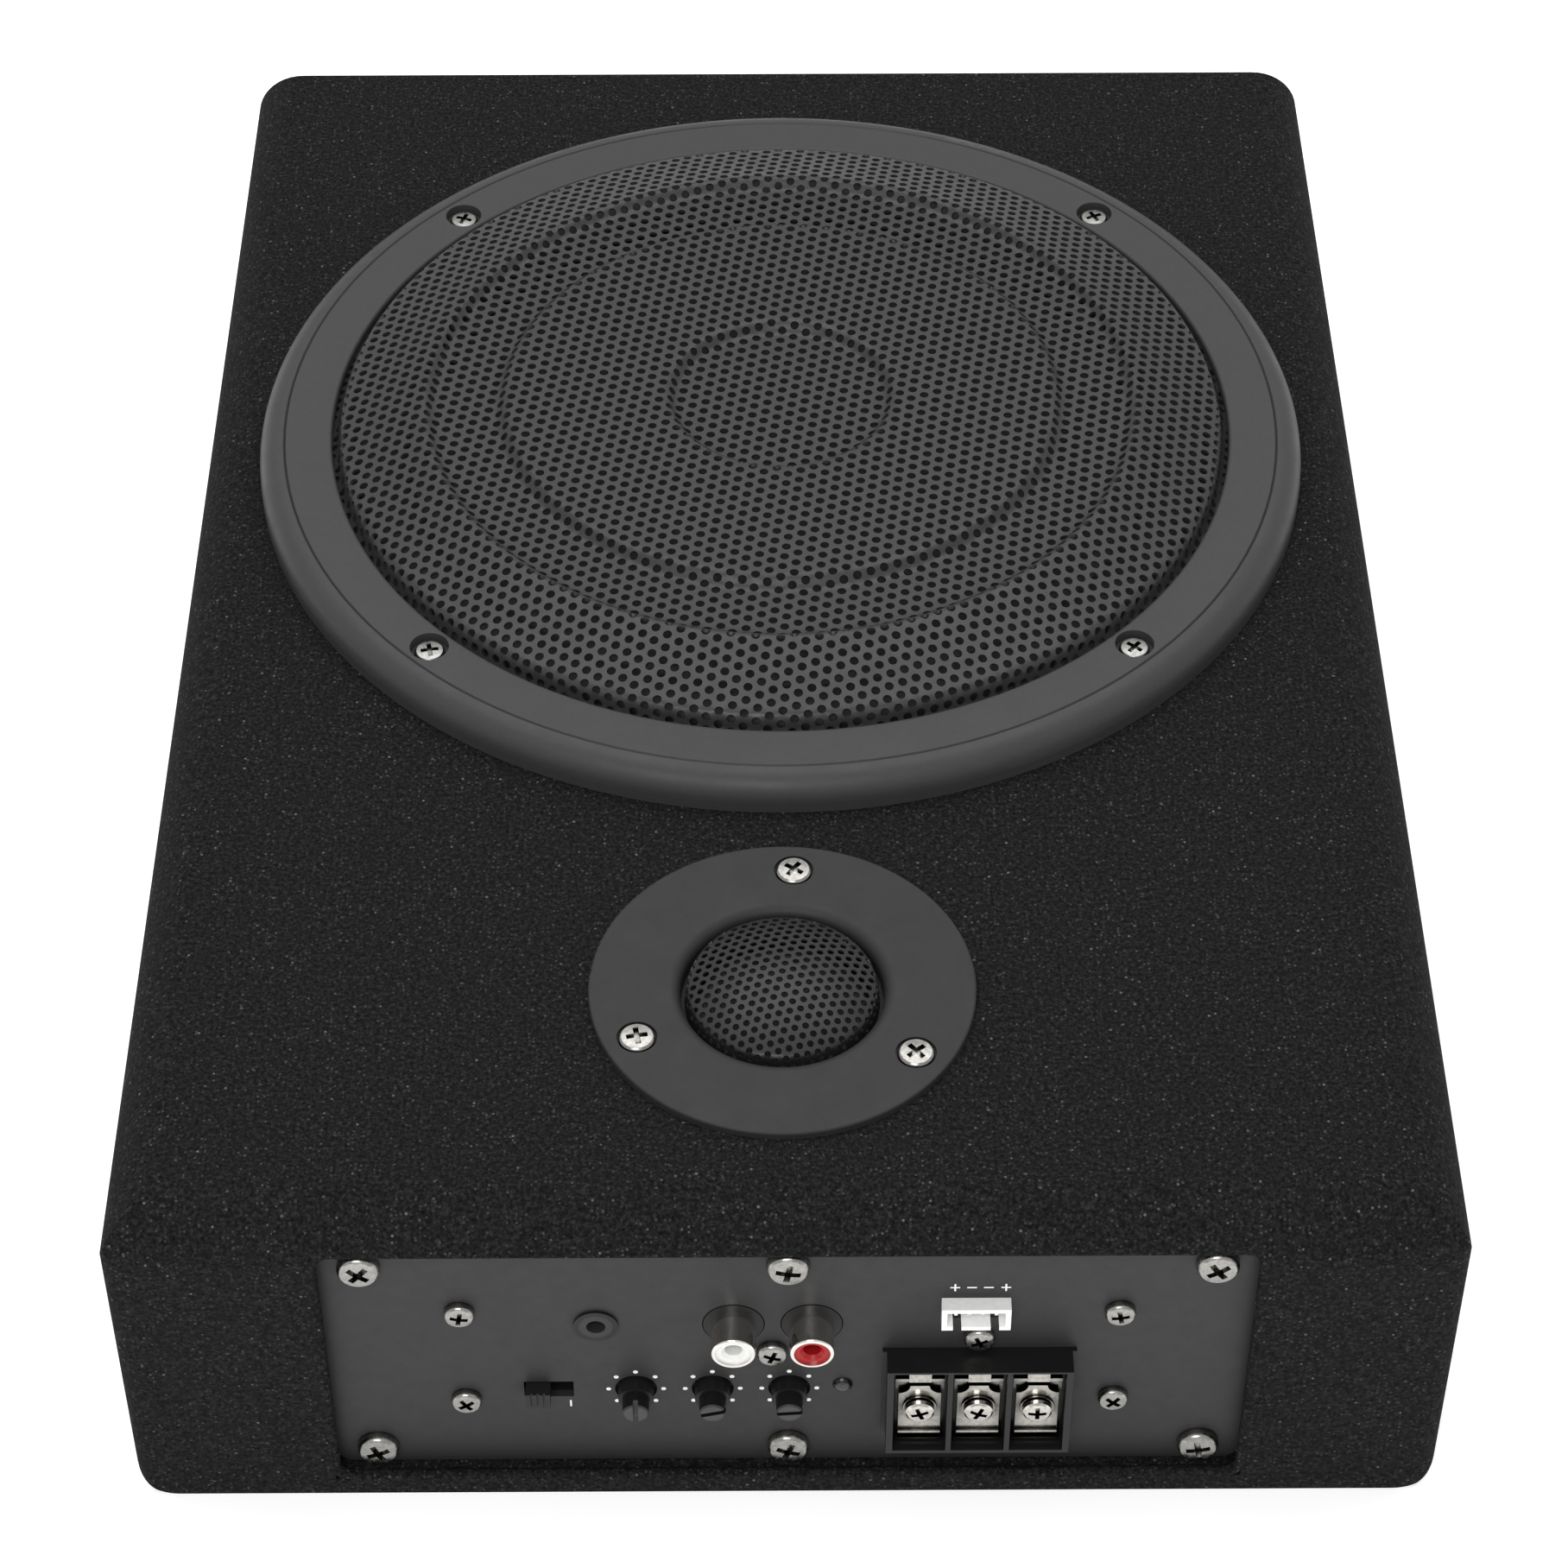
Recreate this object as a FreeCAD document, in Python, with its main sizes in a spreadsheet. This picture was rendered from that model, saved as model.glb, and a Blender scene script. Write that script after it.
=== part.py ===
import FreeCAD, Part
import math
import os

import Sketcher

# A powered under-seat car subwoofer: a carpeted MDF box with an eight-inch driver under a
# formed mesh grille, a small dome tweeter, and an amplifier whose panel is let into the front.
# Frame: origin at the middle of the box's underside, +X right, +Y to the back, +Z up.

doc = FreeCAD.newDocument("PoweredSubwoofer")
sheet = doc.addObject("Spreadsheet::Sheet", "Dims")

DIMENSIONS = [
    # The box
    ("box_width", 250.0),
    ("box_length", 354.0),
    ("box_height", 80.0),
    ("carpet", 1.5),
    ("board", 12.0),
    ("edge_round", 11.5),
    ("base_round", 8.0),
    ("nose_round", 12.0),
    ("corner_round", 4.0),
    # The recess for the amplifier panel
    ("panel_middle_x", 0.4),
    ("panel_width", 173.2),
    ("panel_low", 4.8),
    ("panel_high", 71.2),
    ("panel_depth", 4.3),
    ("panel_sheet", 1.5),
    ("panel_corner", 3.0),
    ("panel_gap", 0.4),
    ("carpet_return", 1.0),
    ("bay_half_width", 70.0),
    ("bay_low", 12.8),
    ("bay_high", 59.0),
    # The grille and its screws
    ("woofer_y", 40.2),
    ("ring_radius", 112.0),
    ("ring_opening", 96.2),
    ("ring_rise", 7.6),
    ("ring_crease", 106.4),
    ("ring_shoulder", 5.2),
    ("crease_depth", 0.4),
    ("grille_screw_circle", 101.3),
    ("recess_radius", 4.0),
    ("mesh_sheet", 0.9),
    ("mesh_rim_radius", 99.5),
    ("mesh_rise", 14.8),
    ("mesh_step", 2.0),
    ("mesh_fall", 4.8),
    # The woofer
    ("cutout_radius", 93.0),
    ("basket_radius", 105.0),
    ("basket_sheet", 1.5),
    ("surround_outer", 97.0),
    ("surround_roll_outer", 92.0),
    ("surround_roll_inner", 80.0),
    ("surround_rise", 4.4),
    ("cone_lip", 76.5),
    ("paper", 0.8),
    ("dust_cap_radius", 38.0),
    ("dust_cap_rise", 9.0),
    ("former_radius", 17.6),
    ("former_wall", 0.3),
    ("coil_build", 0.8),
    ("cone_neck_depth", 21.2),
    ("spider_radius", 57.0),
    ("spider_depth", 28.0),
    ("basket_floor_depth", 41.0),
    ("plate_radius", 42.0),
    ("magnet_radius", 46.0),
    ("gap_radius", 19.0),
    ("pole_radius", 16.8),
    ("steel_plate", 4.0),
    ("magnet_thickness", 14.0),
    # The tweeter
    ("tweeter_x", -0.4),
    ("tweeter_y", -119.2),
    ("tweeter_radius", 36.8),
    ("tweeter_rise", 1.6),
    ("tweeter_hole", 19.3),
    ("tweeter_cutout", 26.0),
    ("tweeter_screw_circle", 30.2),
    ("tweeter_first_screw", 85.5),
    ("dome_mesh_radius", 18.0),
    ("dome_mesh_rise", 5.5),
    ("dome_mesh_shoulder", 1.3),
    ("dome_mesh_sheet", 0.5),
    ("dome_radius", 13.3),
    # Screws: head radius, head height, shank radius
    ("grille_head", 3.15),
    ("grille_height", 1.4),
    ("tweeter_head", 3.5),
    ("tweeter_height", 1.2),
    ("pan_head", 2.9),
    ("pan_height", 2.0),
    ("pan_shank", 1.5),
    ("wood_head", 4.0),
    ("wood_height", 2.5),
    ("wood_shank", 1.6),
    # The controls and sockets on the panel
    ("screw_column", 78.7),
    ("screw_row_high", 64.5),
    ("screw_row_low", 9.9),
    ("socket_row", 46.8),
    ("control_row", 27.1),
    ("jack_x", -35.4),
    ("jack_bore", 1.8),
    ("jack_flange", 4.2),
    ("rca_middle", -2.5),
    ("rca_pitch", 14.6),
    ("rca_radius", 4.15),
    ("rca_wall", 0.75),
    ("rca_length", 7.2),
    ("rca_base", 5.65),
    ("knob_first", -28.4),
    ("knob_pitch", 14.5),
    ("knob_radius", 2.5),
    ("bush_radius", 3.35),
    ("bush_rise", 2.6),
    ("knob_length", 6.0),
    ("knob_hole", 4.0),
    ("switch_x", -44.9),
    ("switch_slot", 9.4),
    ("switch_slot_tall", 4.6),
    ("lever_width", 4.6),
    ("lever_tall", 4.0),
    ("lever_rise", 3.0),
    ("lever_travel", 4.0),
    ("led_x", 10.7),
    ("led_row", 28.3),
    ("led_radius", 1.9),
    ("header_x", 35.2),
    ("header_row", 51.3),
    ("header_width", 12.8),
    ("header_tall", 6.0),
    ("header_rise", 2.9),
    ("header_pitch", 2.5),
    ("block_x", 36.3),
    ("block_width", 34.8),
    ("block_flange", 0.8),
    ("block_low", 14.4),
    ("block_high", 39.4),
    ("block_rise", 6.0),
    ("block_pitch", 11.1),
    # The amplifier behind the panel
    ("board_front", -157.0),
    ("circuit_board", 1.6),
    ("main_board_level", 18.0),
    ("main_board_back", -82.0),
    ("sink_thickness", 10.5),
]


class Size:
    """A size with its value in millimetres or degrees and the sheet expression that gives it."""

    def __init__(self, value, text):
        self.value = value
        self.text = text

    def __add__(self, other):
        return Size(self.value + value_of(other), f"({self.text} + {text_of(other)})")

    def __radd__(self, other):
        return Size(value_of(other) + self.value, f"({text_of(other)} + {self.text})")

    def __sub__(self, other):
        return Size(self.value - value_of(other), f"({self.text} - {text_of(other)})")

    def __rsub__(self, other):
        return Size(value_of(other) - self.value, f"({text_of(other)} - {self.text})")

    def __mul__(self, other):
        return Size(self.value * value_of(other), f"({self.text} * {text_of(other)})")

    __rmul__ = __mul__

    def __truediv__(self, other):
        return Size(self.value / value_of(other), f"({self.text} / {text_of(other)})")

    def __neg__(self):
        return Size(-self.value, f"(0 - {self.text})")


def value_of(size):
    """The plain number in a size."""
    return size.value if isinstance(size, Size) else float(size)


def text_of(size):
    """The sheet expression for a size."""
    return size.text if isinstance(size, Size) else f"({float(size)!r})"


class Dimensions:
    """The driving dimensions, one attribute for each row of the sheet."""


D = Dimensions()
for row, (name, number) in enumerate(DIMENSIONS, start=1):
    sheet.set(f"A{row}", name.replace("_", " "))
    sheet.set(f"B{row}", str(number))
    sheet.setAlias(f"B{row}", name)
    setattr(D, name, Size(number, f"Dims.{name}"))
doc.recompute()

NODES = []
FACINGS = {
    "up": FreeCAD.Rotation(),
    "front": FreeCAD.Rotation(FreeCAD.Vector(1, 0, 0), 90),
}


def node(thing):
    """Marks an object as a finished sub-part, which is written under its own label."""
    NODES.append(thing)
    return thing


def bind(thing, prop, size):
    """Sets a property from a size, by expression where the sheet drives it."""
    if isinstance(size, Size):
        thing.setExpression(prop, size.text)
    else:
        thing.setExpression(prop, text_of(size))


def place(thing, at, facing="up", turn=0):
    """Puts an object at a point, facing up or to the front, turned about its own axis first."""
    spin = FreeCAD.Rotation(FreeCAD.Vector(0, 0, 1), turn)
    spot = FreeCAD.Vector(*[value_of(size) for size in at])
    thing.Placement = FreeCAD.Placement(spot, FACINGS[facing].multiply(spin))
    for letter, size in zip("xyz", at):
        bind(thing, f"Placement.Base.{letter}", size)
    return thing


# Primitives and booleans


def block(name, low, high):
    """A box between two opposite corners."""
    box = doc.addObject("Part::Box", name)
    for prop, small, large in zip(("Length", "Width", "Height"), low, high):
        bind(box, prop, large - small)
    return place(box, low)


def cylinder(name, radius, height, at, facing="up"):
    """A cylinder that starts at a point and runs up, or out to the front."""
    rod = doc.addObject("Part::Cylinder", name)
    bind(rod, "Radius", radius)
    bind(rod, "Height", height)
    return place(rod, at, facing)


def fuse(name, parts):
    """One object from several; parts that don't touch stay separate solids."""
    union = doc.addObject("Part::MultiFuse", name)
    union.Shapes = parts
    return union


def cut(name, base, tools):
    """The base with every tool taken out of it."""
    cutter = tools[0] if len(tools) == 1 else fuse(f"{name}_tools", tools)
    result = doc.addObject("Part::Cut", name)
    result.Base = base
    result.Tool = cutter
    return result


def common(name, base, tool):
    """What two objects share."""
    result = doc.addObject("Part::Common", name)
    result.Base = base
    result.Tool = tool
    return result


def group(name, parts):
    """Separate like solids kept as one sub-part."""
    together = doc.addObject("Part::Compound", name)
    together.Links = parts
    return together


# Bodies made from sketches


def arc(across, along, radius, turn):
    """A corner reached by an arc of that radius, turning left (+1) or right (-1)."""
    return (across, along, radius, turn)


def new_sketch(body, name, role, offset):
    """A sketch on one of the body's own origin planes, moved along the plane's normal."""
    sketch = body.newObject("Sketcher::SketchObject", name)
    plane = [item for item in body.Origin.OriginFeatures if item.Role == role][0]
    sketch.AttachmentSupport = [(plane, "")]
    sketch.MapMode = "FlatFace"
    bind(sketch, "AttachmentOffset.Base.z", offset)
    return sketch


def arc_between(start, end, radius, turn):
    """The circle arc from start to end, and its turning centre's side."""
    middle = (start + end) * 0.5
    chord = end - start
    reach = math.sqrt(max(radius**2 - (chord.Length / 2) ** 2, 0.0))
    side = FreeCAD.Vector(-chord.y, chord.x, 0).normalize()
    centre = middle + side * (reach * turn)
    first, last = (start, end) if turn > 0 else (end, start)
    angles = [math.atan2(p.y - centre.y, p.x - centre.x) for p in (first, last)]
    circle = Part.Circle(centre, FreeCAD.Vector(0, 0, 1), radius)
    return Part.ArcOfCircle(circle, *angles)


def outline(sketch, corners):
    """Draws a closed outline through the corners and ties each one to the sheet."""
    spots = [FreeCAD.Vector(value_of(c[0]), value_of(c[1]), 0) for c in corners]
    ends = []
    for index, corner in enumerate(corners):
        start, end = spots[index - 1], spots[index]
        if len(corner) == 4:
            shape = arc_between(start, end, value_of(corner[2]), corner[3])
            begin, finish = (1, 2) if corner[3] > 0 else (2, 1)
        else:
            shape = Part.LineSegment(start, end)
            begin, finish = 1, 2
        edge = sketch.addGeometry(shape, False)
        ends.append((edge, begin, finish))
        if len(corner) == 4:
            tie(sketch, ("Radius", edge), corner[2])
    for index, (edge, begin, finish) in enumerate(ends):
        before = ends[index - 1]
        sketch.addConstraint(Sketcher.Constraint("Coincident", before[0], before[2], edge, begin))
        tie(sketch, ("DistanceX", -1, 1, edge, finish), corners[index][0])
        tie(sketch, ("DistanceY", -1, 1, edge, finish), corners[index][1])


def circle(sketch, across, along, radius):
    """Draws a circle tied to the sheet."""
    centre = FreeCAD.Vector(value_of(across), value_of(along), 0)
    axis = FreeCAD.Vector(0, 0, 1)
    edge = sketch.addGeometry(Part.Circle(centre, axis, value_of(radius)), False)
    tie(sketch, ("Radius", edge), radius)
    tie(sketch, ("DistanceX", -1, 1, edge, 3), across)
    tie(sketch, ("DistanceY", -1, 1, edge, 3), along)


def tie(sketch, reference, size):
    """Adds a dimension constraint that follows the sheet."""
    number = sketch.addConstraint(Sketcher.Constraint(*reference, value_of(size)))
    sketch.setExpression(f"Constraints[{number}]", text_of(size))


def lathe(name, corners, at, facing="up", turn=0):
    """A body turned about its own upright axis; corners are (radius, height)."""
    body = doc.addObject("PartDesign::Body", name)
    sketch = new_sketch(body, f"{name}_profile", "XZ_Plane", 0)
    outline(sketch, corners)
    turning = body.newObject("PartDesign::Revolution", f"{name}_turned")
    turning.Profile = sketch
    turning.ReferenceAxis = (sketch, ["V_Axis"])
    turning.Angle = 360
    return place(body, at, facing, turn)


def prism(name, role, corners, start, end):
    """A body with a flat outline on one origin plane, from start to end along its axis."""
    body = doc.addObject("PartDesign::Body", name)
    reverse = role == "XZ_Plane"
    sketch = new_sketch(body, f"{name}_outline", role, -start if reverse else start)
    outline(sketch, corners)
    pad = body.newObject("PartDesign::Pad", f"{name}_pad")
    pad.Profile = sketch
    pad.Reversed = reverse
    bind(pad, "Length", end - start)
    return body


def pocket(body, name, level, draw, depth=None, reverse=False):
    """Cuts what draw(sketch) draws down from a level, to a depth or right through."""
    doc.recompute()
    before = body.Shape.Volume
    sketch = new_sketch(body, f"{name}_sketch", "XY_Plane", level)
    draw(sketch)
    removal = body.newObject("PartDesign::Pocket", name)
    removal.Profile = sketch
    removal.Reversed = reverse
    if depth is None:
        removal.Type = "ThroughAll"
    else:
        bind(removal, "Length", depth)
    doc.recompute()
    if not body.Shape.Volume < before:
        raise RuntimeError(f"{name} cuts nothing")
    return removal


def polar(body, features, count):
    """Repeats features evenly about the body's upright axis."""
    axis = [item for item in body.Origin.OriginFeatures if item.Role == "Z_Axis"][0]
    pattern = body.newObject("PartDesign::PolarPattern", f"{body.Name}_pattern")
    pattern.Originals = features
    pattern.Axis = (axis, [""])
    pattern.Angle = 360
    pattern.Occurrences = count
    body.Tip = pattern
    return pattern


def rounded_rectangle(left, low, right, high, radius):
    """The corners of a rectangle with four equal rounds, anticlockwise."""
    return [
        (left + radius, low),
        (right - radius, low),
        arc(right, low + radius, radius, 1),
        (right, high - radius),
        arc(right - radius, high, radius, 1),
        (left + radius, high),
        arc(left, high - radius, radius, 1),
        (left, low + radius),
        arc(left + radius, low, radius, 1),
    ][1:]


def rectangle(left, low, right, high):
    """The corners of a plain rectangle, anticlockwise."""
    return [(left, low), (right, low), (right, high), (left, high)]


def cap_radius(edge, rise):
    """The sphere radius of a cap with that edge radius and rise."""
    return (edge * edge + rise * rise) / (rise * 2)


# Levels that several sub-parts share

HALF_WIDTH = D.box_width / 2
HALF_LENGTH = D.box_length / 2
FRONT = -HALF_LENGTH
TOP = D.box_height
WOOD_FRONT = FRONT + D.carpet
WOOD_TOP = TOP - D.carpet
PANEL_FACE = FRONT + D.panel_depth
PANEL_BACK = PANEL_FACE + D.panel_sheet
PANEL_LEFT = D.panel_middle_x - D.panel_width / 2
PANEL_RIGHT = D.panel_middle_x + D.panel_width / 2
BOARD_BACK = D.board_front + D.circuit_board
WOOFER = (0, D.woofer_y, TOP)
TWEETER = (D.tweeter_x, D.tweeter_y, TOP)
RING_LIP = D.ring_rise - 2.3
RECESS_FLOOR = D.ring_rise - 2.2
SPIDER_LEVEL = -D.spider_depth
FLOOR_LEVEL = -D.basket_floor_depth
PLATE_LEVEL = FLOOR_LEVEL - D.steel_plate
MAGNET_LEVEL = PLATE_LEVEL - D.magnet_thickness
YOKE_LEVEL = MAGNET_LEVEL - D.steel_plate
MESH_FOOT = -3.0
TWEETER_SEAT = -6.4
KNOBS = ("knob_left", "knob_middle", "knob_right")


def ring_points(radius, count, first):
    """The (x, y) offsets of points spaced evenly round a circle, first one at an angle."""
    spots = []
    for index in range(count):
        angle = math.radians(value_of(first) + index * 360 / count)
        spots.append((radius * math.cos(angle), radius * math.sin(angle)))
    return spots


GRILLE_SCREWS = [
    (x, D.woofer_y + y) for x, y in ring_points(D.grille_screw_circle, 4, 45)
]
TWEETER_SCREWS = [
    (D.tweeter_x + x, D.tweeter_y + y)
    for x, y in ring_points(D.tweeter_screw_circle, 3, D.tweeter_first_screw)
]
WOOD_SCREWS = [
    (D.panel_middle_x + D.screw_column * side, level)
    for level in (D.screw_row_low, D.screw_row_high)
    for side in (-1, 0, 1)
]
SINK_SCREWS_LEFT = [(-60.6, 24.5), (-60.6, 50.9)]
SINK_SCREWS_RIGHT = [(62.0, 24.5), (62.0, 50.5)]
RCA_SCREW = (-2.6, 38.8)
BLOCK_SCREW = (36.1, 43.0)
MACHINE_SCREWS = SINK_SCREWS_LEFT + SINK_SCREWS_RIGHT + [RCA_SCREW, BLOCK_SCREW]
RCA_PLACES = [D.rca_middle - D.rca_pitch / 2, D.rca_middle + D.rca_pitch / 2]
KNOB_PLACES = [D.knob_first + D.knob_pitch * index for index in range(3)]


# The box


def rounded_box(name, inset):
    """The box's outer form moved inwards: long edges, top front edge and front corners rounded."""
    low, high = inset * 1.0, TOP - inset
    side, end = HALF_WIDTH - inset, HALF_LENGTH - inset
    edge, base = D.edge_round - inset, D.base_round - inset
    nose, corner = D.nose_round - inset, D.corner_round - inset
    section = [
        (side - base, low),
        arc(side, low + base, base, 1),
        (side, high - edge),
        arc(side - edge, high, edge, 1),
        (-side + edge, high),
        arc(-side, high - edge, edge, 1),
        (-side, low + base),
        arc(-side + base, low, base, 1),
    ]
    across = prism(f"{name}_section", "XZ_Plane", section, -end, end)
    side_view = [
        (end, low),
        (end, high),
        (-end + nose, high),
        arc(-end, high - nose, nose, 1),
        (-end, low),
    ]
    along = prism(f"{name}_side_view", "YZ_Plane", side_view, -side, side)
    plan = [
        (side - corner, -end),
        arc(side, -end + corner, corner, 1),
        (side, end),
        (-side, end),
        (-side, -end + corner),
        arc(-side + corner, -end, corner, 1),
    ]
    upright = prism(f"{name}_plan", "XY_Plane", plan, low, high)
    return common(name, common(f"{name}_long", across, along), upright)


def pilot_holes(name, spots, radius, level, depth):
    """Upright screw holes below a level."""
    return [
        cylinder(f"{name}_{index}", radius, depth, (x, y, level - depth))
        for index, (x, y) in enumerate(spots)
    ]


def boards(core):
    """Six MDF boards: the front one is full size, the others stand behind it."""
    inner_front = WOOD_FRONT + D.board
    side = HALF_WIDTH
    back = HALF_LENGTH
    low, high = D.carpet + D.board, WOOD_TOP - D.board
    inner = side - D.carpet - D.board

    blank = block("front_blank", (-side, FRONT, 0), (side, inner_front, TOP))
    rebate = block(
        "front_rebate",
        (PANEL_LEFT - D.panel_gap - D.carpet_return, FRONT, recess_low() - D.carpet_return),
        (PANEL_RIGHT + D.panel_gap + D.carpet_return, PANEL_BACK, recess_high() + D.carpet_return),
    )
    bay = block(
        "front_bay",
        (D.panel_middle_x - D.bay_half_width, FRONT, D.bay_low),
        (D.panel_middle_x + D.bay_half_width, inner_front + 1, D.bay_high),
    )
    screws = [
        cylinder(f"front_pilot_{index}", D.wood_shank, D.board, (x, inner_front + 1, z), "front")
        for index, (x, z) in enumerate(WOOD_SCREWS)
    ]
    solid = common("front_solid", blank, core)
    node(cut("front_board", solid, [rebate, bay] + screws))

    blank = block("baffle_blank", (-side, inner_front, high), (side, back, TOP))
    solid = common("baffle_solid", blank, core)
    holes = [
        cylinder("woofer_hole", D.cutout_radius, TOP, (0, D.woofer_y, 0)),
        cylinder("tweeter_hole", D.tweeter_cutout, TOP, (D.tweeter_x, D.tweeter_y, 0)),
    ]
    holes += pilot_holes("grille_pilot", GRILLE_SCREWS, D.pan_shank, TOP, D.board)
    holes += pilot_holes("tweeter_pilot", TWEETER_SCREWS, D.pan_shank, TOP, D.board)
    node(cut("baffle_board", solid, holes))

    blank = block("bottom_blank", (-side, inner_front, 0), (side, back, low))
    node(common("bottom_board", blank, core))
    pair = []
    for name, left, right in (("left", -side, -inner), ("right", inner, side)):
        blank = block(f"{name}_blank", (left, inner_front, low), (right, back, high))
        pair.append(common(f"{name}_board", blank, core))
    node(group("side_boards", pair))
    inner_back = back - D.carpet - D.board
    blank = block("back_blank", (-inner, inner_back, low), (inner, back, high))
    node(common("back_board", blank, core))


def recess_low():
    """The level of the panel recess's floor."""
    return D.panel_low - D.panel_gap


def recess_high():
    """The level of the panel recess's roof."""
    return D.panel_high + D.panel_gap


def carpet(core):
    """The felt over the box: one wrap that returns into the recess, and a bottom sheet."""
    outer = rounded_box("carpet_outer", 0)
    skin = cut("carpet_skin", outer, [core])
    flat = HALF_WIDTH - D.edge_round
    left, right = PANEL_LEFT - D.panel_gap, PANEL_RIGHT + D.panel_gap
    lining = block(
        "carpet_lining_blank",
        (left - D.carpet_return, WOOD_FRONT, recess_low() - D.carpet_return),
        (right + D.carpet_return, PANEL_BACK, recess_high() + D.carpet_return),
    )
    skin = fuse("carpet_with_lining", [skin, lining])
    openings = [
        block("carpet_floor_gap", (-flat, FRONT - 1, -1), (flat, HALF_LENGTH + 1, D.carpet)),
        block(
            "carpet_mouth",
            (left, FRONT - 1, recess_low()),
            (right, PANEL_BACK + 1, recess_high()),
        ),
        cylinder("carpet_woofer_hole", D.cutout_radius, 20, (0, D.woofer_y, TOP - 10)),
        cylinder(
            "carpet_tweeter_hole",
            D.tweeter_cutout,
            20,
            (D.tweeter_x, D.tweeter_y, TOP - 10),
        ),
    ]
    openings += pilot_holes("carpet_grille", GRILLE_SCREWS, D.pan_shank, TOP, D.carpet)
    openings += pilot_holes("carpet_tweeter", TWEETER_SCREWS, D.pan_shank, TOP, D.carpet)
    node(cut("carpet_wrap", skin, openings))
    node(block("carpet_bottom", (-flat, FRONT, 0), (flat, HALF_LENGTH, D.carpet)))


# Screws


def cross(sketch, arm, half_width):
    """The outline of a cross-head driver recess."""
    corners = []
    for turn in range(4):
        for along, side in ((half_width, -half_width), (arm, -half_width), (arm, half_width)):
            spot = (along, side)
            for _ in range(turn):
                spot = (-spot[1], spot[0])
            corners.append(spot)
    outline(sketch, corners)


def pan_screw(name, head, height, shank, length, at, facing="up", turn=0):
    """A cross-head pan screw whose head sits on the point and whose shank goes below it."""
    tip = shank * 0.9
    brow, brow_height = head * 0.85, height * 0.85
    corners = [
        (0, -length),
        (shank - tip * 0.8, -length),
        (shank, -length + tip),
        (shank, 0),
        (head, 0),
        (head, height * 0.35),
        arc(brow, brow_height, head * 0.35, 1),
        arc(0, height, cap_radius(brow, height - brow_height), 1),
    ]
    body = lathe(name, corners, at, facing, turn)
    arm, half_width = head * 0.58, head * 0.15
    pocket(
        body,
        f"{name}_cross",
        height,
        lambda sketch: cross(sketch, arm, half_width),
        height * 0.72,
    )
    return body


def fasteners():
    """Grille, tweeter and panel screws; like screws make one sub-part."""
    turns = (25, 70, 10, 50, 80, 35)
    level = TOP + RECESS_FLOOR
    grille = [
        pan_screw(
            f"grille_screw_{index}",
            D.grille_head,
            D.grille_height,
            D.pan_shank,
            RECESS_FLOOR + D.board,
            (x, y, level),
            turn=turns[index],
        )
        for index, (x, y) in enumerate(GRILLE_SCREWS)
    ]
    node(group("grille_screws", grille))
    level = TOP + D.tweeter_rise - 0.7
    tweeter = [
        pan_screw(
            f"tweeter_screw_{index}",
            D.tweeter_head,
            D.tweeter_height,
            D.pan_shank,
            D.board,
            (x, y, level),
            turn=turns[index] + 30,
        )
        for index, (x, y) in enumerate(TWEETER_SCREWS)
    ]
    node(group("tweeter_screws", tweeter))
    wood = [
        pan_screw(
            f"wood_screw_{index}",
            D.wood_head,
            D.wood_height,
            D.wood_shank,
            D.panel_sheet + 7,
            (x, PANEL_FACE, z),
            "front",
            turns[index],
        )
        for index, (x, z) in enumerate(WOOD_SCREWS)
    ]
    node(group("panel_screws", wood))
    machine = [
        pan_screw(
            f"machine_screw_{index}",
            D.pan_head,
            D.pan_height,
            D.pan_shank,
            8,
            (x, PANEL_FACE, z),
            "front",
            turns[-1 - index],
        )
        for index, (x, z) in enumerate(MACHINE_SCREWS)
    ]
    node(group("module_screws", machine))


# The grille


def grille_ring():
    """The moulded trim ring, hollow underneath, with four screw recesses."""
    rise, crease = D.ring_rise, D.ring_crease
    hollow = D.basket_radius + 0.6
    corners = [
        (D.ring_radius, 0),
        (D.ring_radius, rise - D.ring_shoulder),
        arc(D.ring_radius - D.ring_shoulder, rise, D.ring_shoulder, 1),
        (crease + 0.3, rise),
        (crease, rise - D.crease_depth),
        (crease - 0.3, rise),
        (D.ring_opening + 0.8, rise),
        arc(D.ring_opening, rise - 0.8, 0.8, 1),
        (D.ring_opening, RING_LIP),
        (D.mesh_rim_radius + 0.3, RING_LIP),
        (D.mesh_rim_radius + 0.3, RING_LIP - D.mesh_sheet),
        (hollow, RING_LIP - D.mesh_sheet),
        (hollow, 0),
    ]
    body = lathe("grille_ring", corners, WOOFER, turn=45)
    spot = D.grille_screw_circle
    recess = pocket(
        body,
        "ring_recess",
        rise,
        lambda sketch: circle(sketch, spot, 0, D.recess_radius),
        rise - RECESS_FLOOR,
    )
    hole = pocket(
        body,
        "ring_screw_hole",
        rise,
        lambda sketch: circle(sketch, spot, 0, D.pan_shank + 0.2),
    )
    polar(body, [recess, hole], 4)
    node(body)


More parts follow.
